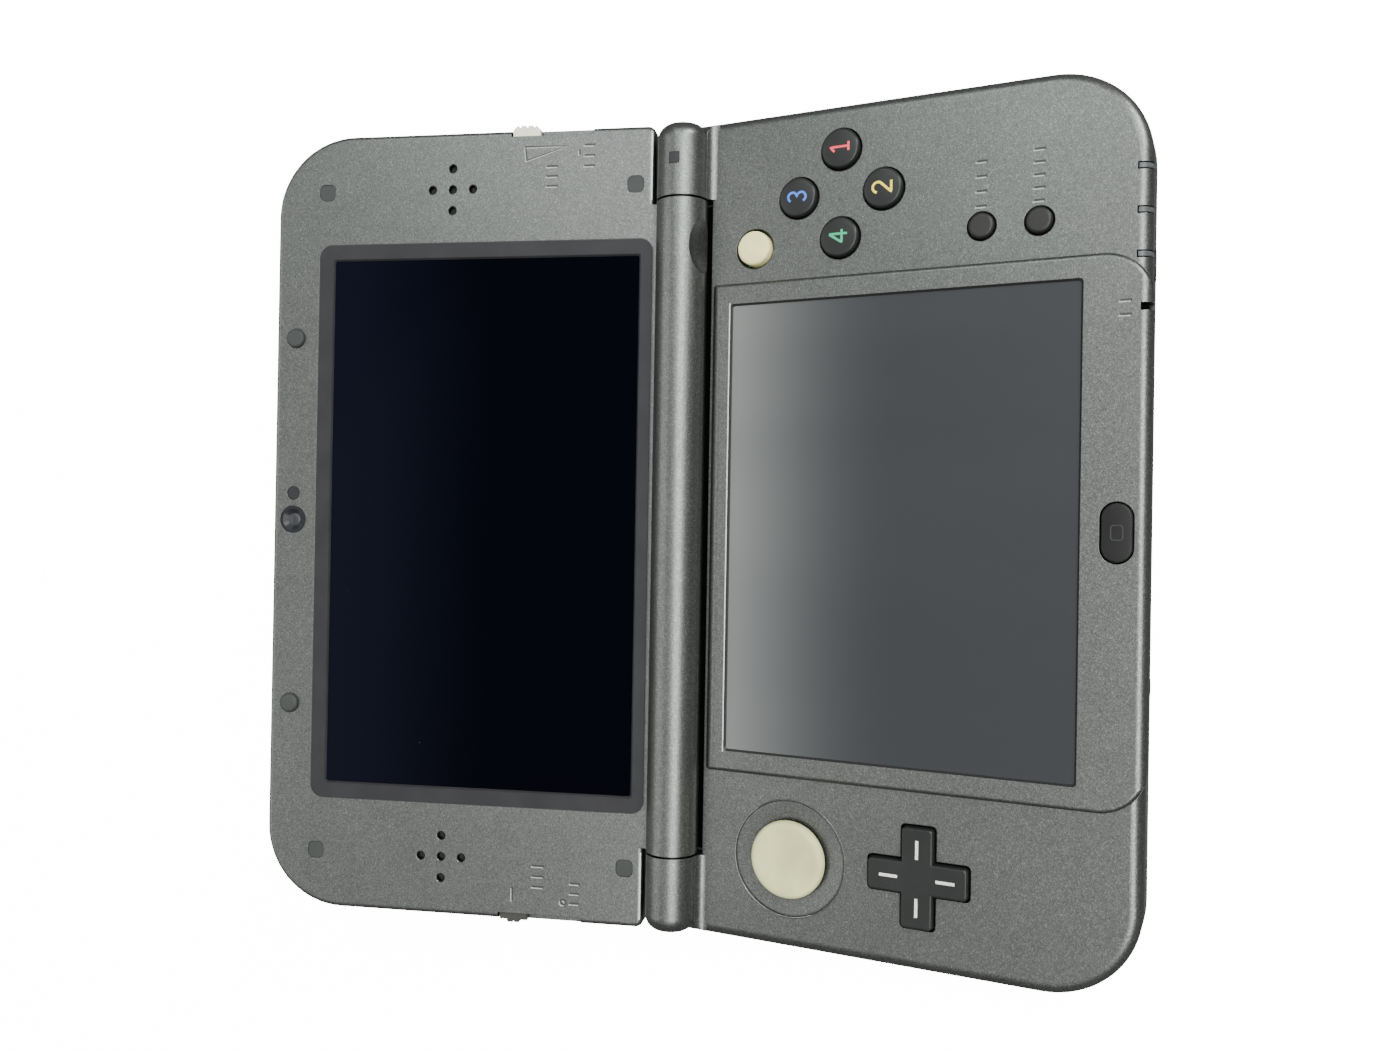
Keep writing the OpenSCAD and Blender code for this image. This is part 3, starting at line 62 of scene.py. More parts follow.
# The lid's own frame: X along the hinge axis, Y along the open lid, Z out of its inner face
HINGE = next(j for j in frame["joints"] if j["name"] == "lid_hinge")
LID = Matrix.Translation(HINGE["pos_m"]) @ Matrix.Rotation(
    math.radians(180 - HINGE["range_deg"][1]), 4, "X"
)
BASE = Matrix.Identity(4)


# ------------------------ measuring the frame


def span(node, home=BASE):
    """Lowest and highest corner of a CAD node, seen in the frame that home places."""
    back = home.inverted()
    points = [back @ v.co for v in frame["nodes"][node].data.vertices]
    low = Vector([min(p[i] for p in points) for i in range(3)])
    high = Vector([max(p[i] for p in points) for i in range(3)])
    return low, high


def middle(node, home=BASE):
    low, high = span(node, home)
    return (low + high) / 2


# ------------------------ meshes


def arc(centre, radius, start, end, steps):
    """Points on an arc, with its angles in degrees."""
    return [
        (
            centre[0] + radius * math.cos(math.radians(start + (end - start) * k / steps)),
            centre[1] + radius * math.sin(math.radians(start + (end - start) * k / steps)),
        )
        for k in range(steps + 1)
    ]


def finish_mesh(bm, name):
    bmesh.ops.recalc_face_normals(bm, faces=bm.faces)
    mesh = bpy.data.meshes.new(name)
    bm.to_mesh(mesh)
    bm.free()
    return mesh


def skin(bm, low, high):
    """Quads between two closed rows of as many vertices."""
    for k in range(len(low)):
        n = (k + 1) % len(low)
        bm.faces.new((low[k], low[n], high[n], high[k]))


def turned(name, profile, steps=72):
    """Turned mesh from (radius, height) points that start and end on the axis."""
    bm = bmesh.new()
    rings = []
    for radius, height in profile:
        circle = arc((0, 0), radius, 0, 360, steps)[:-1] if radius > 1e-7 else [(0, 0)]
        rings.append([bm.verts.new((x, y, height)) for x, y in circle])
    for low, high in zip(rings, rings[1:]):
        if min(len(low), len(high)) > 1:
            skin(bm, low, high)
            continue
        tip, rim = (low, high) if len(low) == 1 else (high, low)
        for k in range(steps):
            bm.faces.new((tip[0], rim[k], rim[(k + 1) % steps]))
    return finish_mesh(bm, name)


def crowned(radius, round_r, crown, top, start):
    """Profile of a crowned face from the axis to the foot of its rolled rim."""
    face_r = radius - round_r
    face = [(face_r * k / 8, top - crown * (k / 8) ** 2) for k in range(8)]
    return face + arc((face_r, top - crown - round_r), round_r, start, 0, 8)


def hoop(name, section, steps=96):
    """Ring turned from a closed section of (radius, height) points."""
    loops = [(arc((0, 0), radius, 0, 360, steps)[:-1], height) for radius, height in section]
    return stacked_loops(name, loops, closed=True)


def rounded_loop(x0, x1, y0, y1, r0, r1, steps=10):
    """Outline of a slab whose corners have radius r0 at y0 and r1 at y1, counter-clockwise."""
    return (
        arc((x1 - r0, y0 + r0), r0, -90, 0, steps)
        + arc((x1 - r1, y1 - r1), r1, 0, 90, steps)
        + arc((x0 + r1, y1 - r1), r1, 90, 180, steps)
        + arc((x0 + r0, y0 + r0), r0, 180, 270, steps)
    )


def inset_loop(low, high, inset, radius, steps=10):
    """Rounded outline that lies an inset inside a box, or outside it where that is below zero."""
    return rounded_loop(
        low[0] + inset, high[0] - inset, low[1] + inset, high[1] - inset, radius, radius, steps
    )


def stacked_loops(name, loops, closed=False):
    """Skins flat loops of (outline, height) one after another, closed on itself or capped."""
    bm = bmesh.new()
    rows = [[bm.verts.new((x, y, height)) for x, y in outline] for outline, height in loops]
    for low, high in zip(rows, rows[1:] + (rows[:1] if closed else [])):
        skin(bm, low, high)
    if not closed:
        bm.faces.new(rows[0])
        bm.faces.new(rows[-1])
    return finish_mesh(bm, name)


def window_lip(name, low, high, radius, width, top, bottom):
    """Sloping lip round the inside of a window, from its upper edge down to the glass."""
    outer = inset_loop(low, high, 0, radius)
    inner = inset_loop(low, high, width, radius)
    return stacked_loops(name, [(outer, top), (inner, bottom), (outer, bottom)], closed=True)


def seam_strip(name, points, height, proud):
    """Thin strip along a run of (x, y, outward x, outward y) points."""
    bm = bmesh.new()
    half = height / 2
    section = ((-proud, -half), (proud, -half), (proud, half), (-proud, half))
    rows = [
        [bm.verts.new((x + nx * out, y + ny * out, z)) for out, z in section]
        for x, y, nx, ny in points
    ]
    for before, after in zip(rows, rows[1:]):
        skin(bm, after, before)
    bm.faces.new(rows[0])
    bm.faces.new(rows[-1])
    return finish_mesh(bm, name)


def strokes(name, lines, width, height):
    """Flattened round strokes along flat lines; a line that ends where it starts is closed."""
    curve = bpy.data.curves.new(name, "CURVE")
    curve.dimensions = "3D"
    curve.bevel_depth = width / 2
    curve.bevel_resolution = 3
    curve.use_fill_caps = True
    for line in lines:
        closed = (Vector(line[0]) - Vector(line[-1])).length < 1e-7
        points = line[:-1] if closed else line
        spline = curve.splines.new("POLY")
        spline.points.add(len(points) - 1)
        for point, (x, y) in zip(spline.points, points):
            point.co = (x, y, 0, 1)
        spline.use_cyclic_u = closed
    holder = bpy.data.objects.new(name, curve)
    bpy.context.scene.collection.objects.link(holder)
    graph = bpy.context.evaluated_depsgraph_get()
    mesh = bpy.data.meshes.new_from_object(holder.evaluated_get(graph))
    bpy.data.objects.remove(holder)
    bpy.data.curves.remove(curve)
    mesh.transform(Matrix.Diagonal((1, 1, height / width, 1)))
    mesh.name = name
    return mesh


def finely(line, step):
    """The same line with its points at most a step apart."""
    points = [line[0]]
    for start, end in zip(line, line[1:]):
        count = max(1, math.ceil(math.dist(start, end) / step))
        for k in range(1, count + 1):
            points.append(tuple(a + (b - a) * k / count for a, b in zip(start, end)))
    return points


def drape(mesh, height_at):
    """Lifts a flat mesh onto a crowned face."""
    for vertex in mesh.vertices:
        vertex.co.z += height_at(vertex.co.x, vertex.co.y)


def add_piece(name, mesh, body, material, home=BASE, place=(0, 0, 0), crease=40):
    """Places a finished mesh in the frame that home gives and makes it ride on a body."""
    mesh.transform(home @ Matrix.Translation(place))
    mesh.materials.clear()
    mesh.materials.append(material)
    mesh.shade_smooth()
    mesh.set_sharp_from_angle(angle=math.radians(crease))
    piece = bpy.data.objects.new(name, mesh)
    bpy.context.scene.collection.objects.link(piece)
    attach(piece, body)
    return piece


# ------------------------ material building


def start_material(name, colour, roughness, **sockets):
    """New material with its plain values set on the shader's own sockets."""
    material = bpy.data.materials.new(name)
    material.use_nodes = True
    shader = material.node_tree.nodes["Principled BSDF"]
    shader.inputs["Base Color"].default_value = (*colour, 1)
    shader.inputs["Roughness"].default_value = roughness
    for socket, value in sockets.items():
        shader.inputs[socket.replace("_", " ")].default_value = value
    return material


def shader_of(material):
    return material.node_tree.nodes["Principled BSDF"]


def add_node(material, kind, **values):
    """Adds a node; a value names an input where there is one, and otherwise a property."""
    node = material.node_tree.nodes.new("ShaderNode" + kind)
    for name, value in values.items():
        socket = name.replace("_", " ")
        if socket in node.inputs:
            node.inputs[socket].default_value = value
        else:
            setattr(node, name, value)
    return node


def join(material, output, target):
    material.node_tree.links.new(output, target)


def paint(material, output):
    join(material, output, shader_of(material).inputs["Base Color"])


def object_point(material, stretch=(1, 1, 1)):
    """The piece's own coordinates, so that a texture moves with it."""
    point = add_node(material, "TexCoord").outputs["Object"]
    if stretch == (1, 1, 1):
        return point
    mapping = add_node(material, "Mapping", Scale=stretch)
    join(material, point, mapping.inputs["Vector"])
    return mapping.outputs["Vector"]


def ramp(material, value, stops, interpolation="LINEAR"):
    """Colour ramp over a value; stops are (place, colour)."""
    node = add_node(material, "ValToRGB")
    node.color_ramp.interpolation = interpolation
    elements = node.color_ramp.elements
    while len(elements) < len(stops):
        elements.new(0.5)
    for element, (place, colour) in zip(elements, stops):
        element.position = place
        element.color = (*colour, 1)
    join(material, value, node.inputs["Fac"])
    return node.outputs["Color"]


def noise(material, grain, detail=2, stretch=(1, 1, 1)):
    """Cloudy noise whose lumps are about grain metres across."""
    node = add_node(material, "TexNoise", Scale=1 / grain, Detail=detail)
    join(material, object_point(material, stretch), node.inputs["Vector"])
    return node.outputs["Fac"]


def share_of_depth(material, low, high, **values):
    """How far a point lies between two places along Y, from 0 to 1."""
    parts = add_node(material, "SeparateXYZ")
    join(material, object_point(material), parts.inputs["Vector"])
    reach = add_node(material, "MapRange", **values)
    reach.inputs["From Min"].default_value = low
    reach.inputs["From Max"].default_value = high
    join(material, parts.outputs["Y"], reach.inputs["Value"])
    return reach.outputs["Result"]


def cells(material, size, output="Color"):
    """Random cells about size metres across."""
    node = add_node(material, "TexVoronoi", Scale=1 / size)
    join(material, object_point(material), node.inputs["Vector"])
    if output != "Color":
        return node.outputs[output]
    parts = add_node(material, "SeparateColor")
    join(material, node.outputs["Color"], parts.inputs["Color"])
    return parts.outputs["Red"]


def blended(material, factor, first, second, kind="MIX"):
    """Mix of two colours, each a colour or a socket."""
    node = add_node(material, "Mix", data_type="RGBA", blend_type=kind)
    for value, socket in ((factor, node.inputs[0]), (first, node.inputs[6]), (second, node.inputs[7])):
        if isinstance(value, (int, float)):
            socket.default_value = value
        elif isinstance(value, tuple):
            socket.default_value = (*value, 1)
        else:
            join(material, value, socket)
    return node.outputs[2]


def shade(colour, factor):
    return tuple(min(1, c * factor) for c in colour)


def grey(value):
    return (value, value, value)


def soft_edges(material, radius):
    """Rounds sharp edges in the shading, as a mould does."""
    return add_node(material, "Bevel", Radius=radius, samples=4).outputs["Normal"]


def relief(material, layers, edge=0.0):
    """Bump from (height, depth) layers over softened edges, onto the shader."""
    normal = soft_edges(material, edge) if edge else None
    for height, depth in layers:
        bump = add_node(material, "Bump", Strength=1.0, Distance=depth)
        join(material, height, bump.inputs["Height"])
        if normal is not None:
            join(material, normal, bump.inputs["Normal"])
        normal = bump.outputs["Normal"]
    if normal is not None:
        join(material, normal, shader_of(material).inputs["Normal"])


def crevice_shade(material, colour, reach):
    """Darkens a colour where neighbours stand close by and little light gets in."""
    near = add_node(material, "AmbientOcclusion", samples=6, Distance=reach)
    cover = ramp(
        material, near.outputs["AO"], [(0, grey(0.02)), (0.35, grey(0.35)), (0.65, grey(1))]
    )
    return blended(material, 1.0, colour, cover, "MULTIPLY")


def rough_range(material, value, low, high):
    """Roughness that wanders between two values."""
    node = add_node(material, "MapRange")
    node.inputs["To Min"].default_value = low
    node.inputs["To Max"].default_value = high
    join(material, value, node.inputs["Value"])
    join(material, node.outputs["Result"], shader_of(material).inputs["Roughness"])


# ------------------------ finishes


def flake_coat(name, colour, sparkle):
    """Metallic lacquer with flakes that catch the light one by one."""
    material = start_material(name, colour, 0.4, Metallic=0.9, Specular_IOR_Level=0.3)
    fine = cells(material, 0.15 * MM)
    broad = cells(material, 0.3 * MM)
    stops = ((0, 0.72), (0.55, 0.97), (0.88, 1.13), (0.97, sparkle))
    flakes = ramp(material, fine, [(place, shade(colour, bright)) for place, bright in stops])
    patches = ramp(material, broad, [(0, grey(0.9)), (0.6, grey(0.99)), (1, grey(1.1))])
    cloud = ramp(material, noise(material, 9 * MM, 3), [(0.3, grey(0.97)), (0.7, grey(1.03))])
    mixed = blended(material, 1.0, flakes, patches, "MULTIPLY")
    mixed = blended(material, 1.0, mixed, cloud, "MULTIPLY")
    mixed = crevice_shade(material, mixed, 3 * MM)
    paint(material, mixed)
    rough_range(material, cells(material, 0.22 * MM), 0.31, 0.42)
    relief(material, [(noise(material, 0.3 * MM, 2), 0.011 * MM)], edge=0.16 * MM)
    return material


def moulded(name, colour, roughness, grain=0.35 * MM, depth=0.01 * MM, edge=0.12 * MM, gloss=0.25,
            **sockets):
    """Spark-eroded plastic: fine grain, faint clouding, softened edges."""
    material = start_material(name, colour, roughness, Specular_IOR_Level=gloss, **sockets)
    cloud = noise(material, 6 * MM, 3)
    paint(material, ramp(material, cloud, [(0.3, shade(colour, 0.88)), (0.7, shade(colour, 1.12))]))
    rough_range(material, noise(material, 3 * MM, 2), roughness * 0.88, roughness * 1.12)
    relief(material, [(noise(material, grain, 3), depth)], edge=edge)
    return material


def brushed_metal(name, colour):
    material = start_material(name, colour, 0.3, Metallic=1.0)
    lines = noise(material, 1.2 * MM, 4, stretch=(1, 14, 14))
    paint(material, ramp(material, lines, [(0.25, shade(colour, 0.75)), (0.75, shade(colour, 1.15))]))
    rough_range(material, lines, 0.22, 0.42)
    relief(material, [(lines, 0.01 * MM)], edge=0.08 * MM)
    return material


def dusty_glass(name, colour, dust, far=None, low=0, high=1):
    """Dark polished screen with a few specks of dust, and a painted sheen that is paler toward its far
    side at y = high.
    """
    material = start_material(name, colour, 0.1, Specular_IOR_Level=0.03)
    near = cells(material, 8 * MM, "Distance")
    specks = ramp(material, near, [(0.0, dust), (0.01, dust), (0.022, (0, 0, 0))])
    sheen = ramp(
        material, noise(material, 60 * MM, 1), [(0.35, colour), (0.65, shade(colour, 1.4))]
    )
    # painted sheen, paler toward the far side
    if far is not None:
        reach = share_of_depth(material, low, high, interpolation_type="SMOOTHSTEP")
        sheen = blended(material, reach, sheen, far)
    paint(material, blended(material, 1.0, sheen, specks, "ADD"))
    rough_range(material, noise(material, 12 * MM, 3), 0.07, 0.16)
    return material


def touch_film(name, dark, light, low, high):
    """Satin film with a painted sheen that goes from dark at the front to light at the hinge, in soft
    bands.
    """
    material = start_material(name, dark, 0.34, Specular_IOR_Level=0.1)
    run = high.y - low.y
    # painted sheen: the film grows paler toward the hinge
    steeper = add_node(material, "Math", operation="POWER")
    steeper.inputs[1].default_value = 2.4
    join(material, share_of_depth(material, low.y + 0.45 * run, low.y + 0.96 * run), steeper.inputs[0])
    film = blended(material, steeper.outputs["Value"], dark, light)
    band = ramp(
        material, noise(material, 26 * MM, 1, stretch=(1, 0.15, 1)),
        [(0.35, (0.94, 0.94, 0.95)), (0.65, (1.06, 1.06, 1.05))],
    )
    paint(material, blended(material, 1.0, film, band, "MULTIPLY"))
    rough_range(material, noise(material, 4 * MM, 3), 0.28, 0.4)
    relief(material, [(noise(material, 0.3 * MM, 2), 0.003 * MM)])
    return material


def lacquered_board(name, colour, track):
    """Board lacquer over copper tracks."""
    material = start_material(name, colour, 0.35, Coat_Weight=0.4, Coat_Roughness=0.2)
    brick = add_node(
        material, "TexBrick", Scale=1 / (1.6 * MM), Mortar_Size=0.06, Color1=(*colour, 1),
        Color2=(*shade(colour, 0.8), 1), Mortar=(*track, 1),
    )
    join(material, object_point(material), brick.inputs["Vector"])
    paint(material, brick.outputs["Color"])
    relief(material, [(brick.outputs["Fac"], 0.02 * MM)])
    return material


def woven_mesh(name, colour):
    """Fine black cloth behind the speaker holes."""
    material = start_material(name, colour, 0.8)
    weave = add_node(material, "TexChecker", Scale=1 / (0.25 * MM), Color1=(*colour, 1),
                     Color2=(*shade(colour, 2.4), 1))
    join(material, object_point(material), weave.inputs["Vector"])
    paint(material, weave.outputs["Color"])
    relief(material, [(weave.outputs["Fac"], 0.03 * MM)])
    return material


def crinkled_foil(name, colour):
    material = start_material(name, colour, 0.34, Metallic=0.9)
    folds = noise(material, 3.5 * MM, 4)
    relief(material, [(folds, 0.25 * MM)])
    rough_range(material, folds, 0.25, 0.45)
    return material


def smoked_clear(name, colour):
    """Light guide of smoked clear plastic in the body colour."""
    material = start_material(name, colour, 0.3, Specular_IOR_Level=0.3)
    lines = noise(material, 0.8 * MM, 2)
    paint(material, ramp(material, lines, [(0.3, shade(colour, 0.7)), (0.7, shade(colour, 1.2))]))
    relief(material, [], edge=0.12 * MM)
    return material


def flat_ink(name, colour):
    """Printed ink with slightly uneven cover."""
    material = start_material(name, colour, 0.5)
    cover = noise(material, 0.5 * MM, 2)
    paint(material, ramp(material, cover, [(0.3, shade(colour, 0.85)), (0.7, shade(colour, 1.1))]))
    return material


FINISHES = {}

# Moulded plastics and rubbers, and the dark finishes of painted shade: colour, roughness and what else
# differs from plain plastic
PLASTICS = {
    "belt_plastic": ((0.05, 0.052, 0.053), 0.4, {}),
    "frame_plastic": ((0.019, 0.019, 0.021), 0.55, {"depth": 0.006 * MM, "gloss": 0.15}),
    "lens_gloss": ((0.01, 0.011, 0.013), 0.3, {"depth": 0.0}),
    "lens_glass": ((0.022, 0.023, 0.026), 0.28, {"depth": 0.0, "edge": 0.0}),
    "infrared_plastic": ((0.019, 0.019, 0.02), 0.25, {"depth": 0.0}),
    "black_plastic": ((0.014, 0.014, 0.015), 0.5, {}),
    "dark_plastic": ((0.035, 0.036, 0.037), 0.4, {}),
    "key_dark": ((0.014, 0.014, 0.013), 0.42, {"depth": 0.008 * MM}),
    "home_black": ((0.012, 0.012, 0.012), 0.4, {"gloss": 0.12}),
    # painted shade in the hinge gap and in the microphone opening
    "deep_black": ((0.002, 0.002, 0.002), 0.8, {"gloss": 0.03}),
    "smoked_window": ((0.028, 0.028, 0.029), 0.4, {"gloss": 0.1}),
    # painted shade in the slider notches
    "notch_shade_black": ((0.016, 0.016, 0.016), 0.5, {"gloss": 0.1}),
    "cream_plastic": ((0.7, 0.68, 0.55), 0.45, {"depth": 0.015 * MM}),
    "grey_plastic": ((0.03, 0.03, 0.027), 0.45, {"depth": 0.015 * MM}),
    "grey_slider": ((0.3, 0.3, 0.28), 0.4, {}),
    "dark_rubber": ((0.027, 0.03, 0.029), 0.6, {"depth": 0.03 * MM}),
    "nylon": ((0.62, 0.62, 0.57), 0.5, {}),
    "silicone": ((0.28, 0.3, 0.32), 0.55, {"Subsurface_Weight": 0.2}),
}

# Printed inks, and strokes of painted shade and painted highlight that stand for a seam, a cut or a lit
# edge
INKS = {
    "seam_shadow": (0.012, 0.012, 0.012),
    # painted shade in a cut, and the painted highlight on its lit edge
    "groove_painted_shade": (0.012, 0.013, 0.013),
    "groove_painted_highlight": (0.3, 0.31, 0.3),
    "lip_shine": (0.5, 0.52, 0.5),
    "ink_white": (0.62, 0.62, 0.58),
}


def tinted_finish(name, tint):
    """A finish whose colour stands in the panel, or None where it has no such colour."""
    rubber = {"grain": 0.3 * MM, "depth": 0.012 * MM, "edge": 0.0}
    if name == "body_coat":
        return flake_coat(name, tuple(tint.body_coat), tint.sparkle)
    if name == "key_black":
        return moulded(name, tuple(tint.keys), 0.34, grain=0.25 * MM, depth=0.004 * MM)
    if name == "pad_rubber":
        return moulded(name, tuple(tint.circle_pad), 0.62, **rubber)
    if name == "stick_rubber":
        return moulded(name, tuple(tint.small_stick), 0.6, **rubber)
    inks = {"ink_red": tint.ink_right, "ink_yellow": tint.ink_bottom, "ink_blue": tint.ink_top,
            "ink_green": tint.ink_left}
    return flat_ink(name, tuple(inks[name])) if name in inks else None


def special_finish(name):
    """A finish of glass, film, metal, board or cloth."""
    if name == "upper_glass":
        low, high = span("upper_screen")
        return dusty_glass(name, (0.00005, 0.0002, 0.0013), (0.4, 0.4, 0.38), (0.003, 0.0035, 0.0075),
                           low.y + 0.4 * (high.y - low.y), high.y)
    if name == "touch_film":
        return touch_film(name, (0.027, 0.0285, 0.031), (0.12, 0.127, 0.123), *span("touch_panel"))
    return {
        "display_glass": lambda: dusty_glass(name, (0.01, 0.01, 0.012), (0.02, 0.02, 0.02)),
        "board_lacquer": lambda: lacquered_board(name, (0.01, 0.1, 0.045), (0.05, 0.2, 0.08)),
        "amber_film": lambda: lacquered_board(name, (0.36, 0.18, 0.04), (0.5, 0.25, 0.06)),
        "steel": lambda: brushed_metal(name, (0.55, 0.55, 0.56)),
        "battery_foil": lambda: crinkled_foil(name, (0.6, 0.61, 0.63)),
        "light_guide": lambda: smoked_clear(name, (0.06, 0.064, 0.066)),
        "speaker_cloth": lambda: woven_mesh(name, (0.006, 0.006, 0.006)),
    }[name]()


def finish(name):
    """The finish of that name, made once."""
    if name in FINISHES:
        return FINISHES[name]
    if name in PLASTICS:
        colour, roughness, more = PLASTICS[name]
        made = moulded(name, colour, roughness, **more)
    elif name in INKS:
        made = flat_ink(name, INKS[name])
    else:
        made = tinted_finish(name, bpy.context.scene.console_colours) or special_finish(name)
    FINISHES[name] = made
    return made


def coat_nodes(finish_name, *nodes):
    """Gives CAD nodes a finish in place of their plain colour."""
    for node in nodes:
        slots = frame["nodes"][node].data.materials
        if not len(slots):
            slots.append(finish(finish_name))
        for k in range(len(slots)):
            slots[k] = finish(finish_name)


def add_strokes(name, lines, width, height, body, finish_name, home=BASE, place=(0, 0, 0)):
    """Strokes along flat lines, as a piece of their own."""
    mesh = strokes(name, lines, width, height)
    add_piece(name, mesh, body, finish(finish_name), home, place)


def coat_all(coats):
    """Coats the nodes that stand, parted by spaces, behind the name of each finish."""
    for finish_name, nodes in coats.items():
        coat_nodes(finish_name, *nodes.split())


# ------------------------ sizes and colours


def colour_property(name, description, default):
    return FloatVectorProperty(
        name=name, description=description, default=default, subtype="COLOR", size=3, min=0, max=1
    )


def length_property(name, description, default, low, high):
    """Length in metres, given in millimetres."""
    return FloatProperty(
        name=name, description=description, default=default * MM, min=low * MM, max=high * MM,
        unit="LENGTH",
    )


class ConsoleColours(bpy.types.PropertyGroup):
    """Colours of the parts that show most"""

    body_coat: colour_property("Body coat", "Metallic lacquer of both halves", (0.12, 0.1265, 0.12))
    sparkle: FloatProperty(
        name="Sparkle", description="Brightness of a flake that faces the light",
        default=1.6, min=1, max=5,
    )
    keys: colour_property(
        "Keys", "Satin black of the keys and the cross pad", (0.013, 0.0135, 0.0135)
    )
    circle_pad: colour_property("Circle pad", "Grey-beige rubber of the circle pad", (0.5, 0.505, 0.26))
    small_stick: colour_property("Small stick", "Cream rubber of the small stick", (0.72, 0.675, 0.33))
    ink_right: colour_property("Right number", "Ink on the right key", (0.66, 0.05, 0.075))
    ink_bottom: colour_property("Bottom number", "Ink on the bottom key", (0.72, 0.6, 0.05))
    ink_top: colour_property("Top number", "Ink on the top key", (0.04, 0.14, 0.58))
    ink_left: colour_property("Left number", "Ink on the left key", (0.02, 0.32, 0.16))


class ConsoleSizes(bpy.types.PropertyGroup):
    """Small sizes that the CAD model leaves to the dressing"""

    key_crown: length_property("Key crown", "Rise of a face key's middle over its rim", 0.12, 0, 0.3)
    pad_dish: length_property("Pad dish", "Depth of the hollow in the circle pad", 0.62, 0, 0.7)
    number_height: length_property("Number height", "Height of the numbers on the face keys", 3.5, 2, 5)
    stroke: length_property("Stroke", "Width of a printed stroke", 0.45, 0.2, 0.8)
    seam: length_property("Seam", "Height of the gap between two shells", 0.12, 0.05, 0.3)
    notch_depth: length_property(
        "Notch depth", "Depth of the notch in the lid's side for a slider", 1.3, 0.8, 1.5
    )
    lip: length_property("Lip", "Width of the sloping lip inside the screen windows", 0.35, 0.1, 0.8)


# ------------------------ shells and seams


class CONSOLE_OT_shells(bpy.types.Operator):
    """Coat both halves and lay the seams between their shells"""

    bl_idname = "console.shells"
    bl_label = "Shells and seams"

    def execute(self, context):
        coat_all({
            "body_coat": "lid_outer_shell lid_bezel hinge_barrel deck_shell centre_panel bottom_cover",
            "belt_plastic": "mid_case",
        })
        self.base_seams(context.scene.console_sizes.seam)
        self.lid_seam(context.scene.console_sizes.seam)
        self.hinge_gap_shadow()
        self.cheek_shine()
        return {"FINISHED"}

    def outline(self, low, high, front_r, rear_r):
        """Slab outline with its outward directions, starting in the middle of the front."""
        loop = rounded_loop(low.x, high.x, low.y, high.y, front_r, rear_r, 14)
        count = len(loop)
        points = []
        for k, (x, y) in enumerate(loop):
            before, after = Vector(loop[k - 1]), Vector(loop[(k + 1) % count])
            along = (after - before).normalized()
            points.append((x, y, along.y, -along.x))
        return points

    def base_seams(self, height):
        low, high = span("bottom_cover")
        points = self.outline(low, high, CORNER_R, 5 * MM)
        points.append(points[0])
        for name, level in (("cover_seam", high.z), ("belt_seam", span("deck_shell")[0].z)):
            mesh = seam_strip(name, points, height, SEAM_PROUD)
            add_piece(name, mesh, "base", finish("seam_shadow"), place=(0, 0, level))

    def hinge_gap_shadow(self):
        """Dark sheet of painted shadow on the floor of the gap that the hinge barrel turns in."""
        axis_y, axis_z = HINGE["pos_m"][1], HINGE["pos_m"][2]
        half = span("hinge_barrel")[1].x
        roof = span("mid_case")[1].z - axis_z
        radius = (span("hinge_barrel")[1].z - axis_z) + 0.45 * MM
        edge, sheet = -5.85 * MM, 0.04 * MM
        turn = math.degrees(math.atan2(roof, -math.sqrt(radius**2 - roof**2)))
        top = arc((0, 0), radius, turn, 285 - 360, 14)
        low = arc((0, 0), radius + sheet, turn, 285 - 360, 14)
        outline = [(edge, roof + 2 * sheet)] + top + low[::-1] + [(edge, roof + sheet)]
        mesh = stacked_loops("hinge_gap_shadow_sheet", [(outline, -half), (outline, half)])
        mesh.transform(Matrix(((0, 0, 1, 0), (1, 0, 0, 0), (0, 1, 0, 0), (0, 0, 0, 1))))
        add_piece("hinge_gap_shadow_sheet", mesh, "base", finish("deep_black"),
                  place=(0, axis_y, axis_z), crease=30)

    def cheek_shine(self):
        """Light that runs along the lid's rolled hinge edge beside each knuckle."""
        low, high = span("lid_bezel", LID)
        start = span("hinge_barrel", LID)[1].x + 0.9 * MM
        runs = [[(way * start, 0), (way * (high.x - 1.7 * MM), 0)] for way in (-1, 1)]
        add_strokes("lid_cheek_shine", runs, 0.42 * MM, 0.06 * MM, "lid", "lip_shine",
                    LID, (0, low.y + 0.72 * MM, high.z - 0.07 * MM))

    def lid_seam(self, height):
        """Seam round the lid, left out where the slider slots cross it."""
        low, high = span("lid_outer_shell", LID)
        knob = span("depth_slider", LID)
        slot_near, slot_far = knob[1].y - SLOT_LEN, knob[1].y + 0.6 * MM
        points = self.outline(
            Vector((low.x, low.y, 0)), Vector((high.x, high.y, 0)), 1.6 * MM, CORNER_R
        )
        count = len(points) // 4
        right, far, left = points[count - 1], points[count:3 * count], points[3 * count]
        runs = (
            [(right[0], slot_far, 1, 0)] + far + [(left[0], slot_far, -1, 0)],
            [(left[0], slot_near, -1, 0)] + points[3 * count:],
            points[:count] + [(right[0], slot_near, 1, 0)],
        )
        for side, run in zip(("far", "left", "right"), runs):
            name = "lid_seam_" + side
            mesh = seam_strip(name, run, height, SEAM_PROUD)
            add_piece(name, mesh, "lid", finish("seam_shadow"), LID, (0, 0, high.z))


# ------------------------ screens


